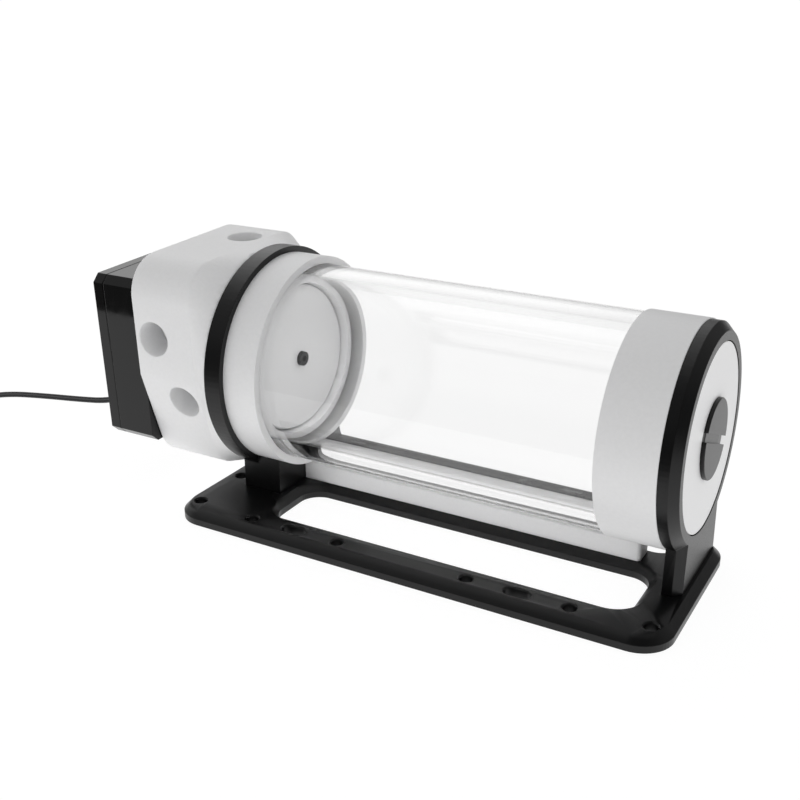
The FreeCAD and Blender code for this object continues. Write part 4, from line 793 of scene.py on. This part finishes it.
# %% Anodised metal, glossy moulding and clear acrylic
DIM = {"Specular_IOR_Level": 0.36}
anodised = finish_named("black_anodised", (0.003, 0.003, 0.0033), 0.33, **DIM)
grain(anodised, 0.3 * MM, 0.010 * MM, 0.2, 0.05, 0.3 * MM)
gloss_black = finish_named("black_case", (0.0025, 0.0025, 0.0025), 0.06, **DIM)
grain(gloss_black, 4.0 * MM, 0.006 * MM, 0.15, 0.02, 0.3 * MM)
GLASSY = {"IOR": 1.49, "Transmission_Weight": 1.0}
acrylic = finish_named("clear_acrylic", (0.98, 0.98, 0.98), 0.0, **GLASSY)
drawn_lines(acrylic, width=8.0 * MM, length=150.0 * MM, depth=0.03 * MM)
print("gloss level:", DIM["Specular_IOR_Level"], "acrylic IOR:", GLASSY["IOR"])

# %% [markdown]
# ## The small and the hidden pieces
#
# Seals, screws, the wheel, its magnet, the coils and the board are small or inside. Each has the
# finish that such a part has, so that the model also holds when it is taken apart. They differ only
# in numbers, so one table makes them all.

# %% One table of finishes
METAL, HALF_METAL, PLAIN = {"Metallic": 1.0}, {"Metallic": 0.6}, {}
# slot: name, colour, roughness, other sockets, grain size and depth in mm, tint, spread of gloss
TABLE = {
    "black_rubber": ("seal_rubber", (0.02, 0.02, 0.02), 0.55, PLAIN, 0.6, 0.02, 0.2, 0.05),
    "screw_steel": ("black_steel", (0.02, 0.02, 0.022), 0.35, METAL, 0.4, 0.01, 0.2, 0.05),
    "wheel_plastic": ("dark_plastic", (0.03, 0.03, 0.033), 0.4, PLAIN, 0.7, 0.02, 0.2, 0.05),
    "magnet": ("ferrite", (0.08, 0.08, 0.085), 0.5, HALF_METAL, 0.6, 0.03, 0.2, 0.05),
    "ceramic": ("ceramic", (0.8, 0.78, 0.74), 0.12, PLAIN, 1.0, 0.005, 0.03, 0.02),
    "lamination": ("sheet_steel", (0.45, 0.45, 0.46), 0.4, METAL, 0.5, 0.03, 0.1, 0.05),
    "copper": ("copper_wire", (0.6, 0.25, 0.1), 0.35, METAL, 0.4, 0.05, 0.15, 0.05),
    "board": ("board_green", (0.02, 0.12, 0.05), 0.35, PLAIN, 1.5, 0.02, 0.3, 0.05),
    "cable_jacket": ("wire_jacket", (0.02, 0.02, 0.022), 0.45, PLAIN, 0.8, 0.02, 0.2, 0.05),
}
FINISH_OF_SLOT = {
    "white_acetal": acetal,
    "black_anodised": anodised,
    "black_plastic": gloss_black,
    "clear_acrylic": acrylic,
}
for slot, (name, color, roughness, sockets, size, depth, tint, rough) in TABLE.items():
    finish = finish_named(name, color, roughness, **sockets)
    FINISH_OF_SLOT[slot] = grain(finish, size * MM, depth * MM, tint, rough)
print("finishes:", len(FINISH_OF_SLOT))

# %% [markdown]
# ## Putting the finishes on
#
# The record names a material slot for each node, and each slot has one finish. Materials could be
# picked piece by piece, but going through the record leaves no node out. The turned pieces and the
# ground come after, because theirs differ from their slot's.

# %% Each piece gets its finish
GROUND_COLOR, GROUND_GLOW = (0.1, 0.1, 0.1), 0.94


def wear(piece, material):
    """Put one material on every slot of a piece."""
    if not piece.material_slots:
        piece.data.materials.append(material)
    for entry in piece.material_slots:
        entry.material = material


for node, slot in SLOT_OF_NODE.items():
    wear(frame["nodes"][node], FINISH_OF_SLOT[slot])
for node, piece in finished.items():
    wear(piece, FINISH_OF_SLOT[SLOT_OF_NODE[node]])
wear(tube, acrylic)
wear(end_cap, turned_acetal_painted_shade)
wear(finished["anti_vortex_disc"], turned_acetal_painted_shade)
wear(lead, FINISH_OF_SLOT["cable_jacket"])
GLOWING = {"Emission_Color": PURE_WHITE, "Emission_Strength": GROUND_GLOW}
wear(floor, finish_named("white_ground", GROUND_COLOR, 0.9, **GLOWING))
print("dressed:", len(SLOT_OF_NODE), "nodes and", len(finished) + 3, "new pieces")
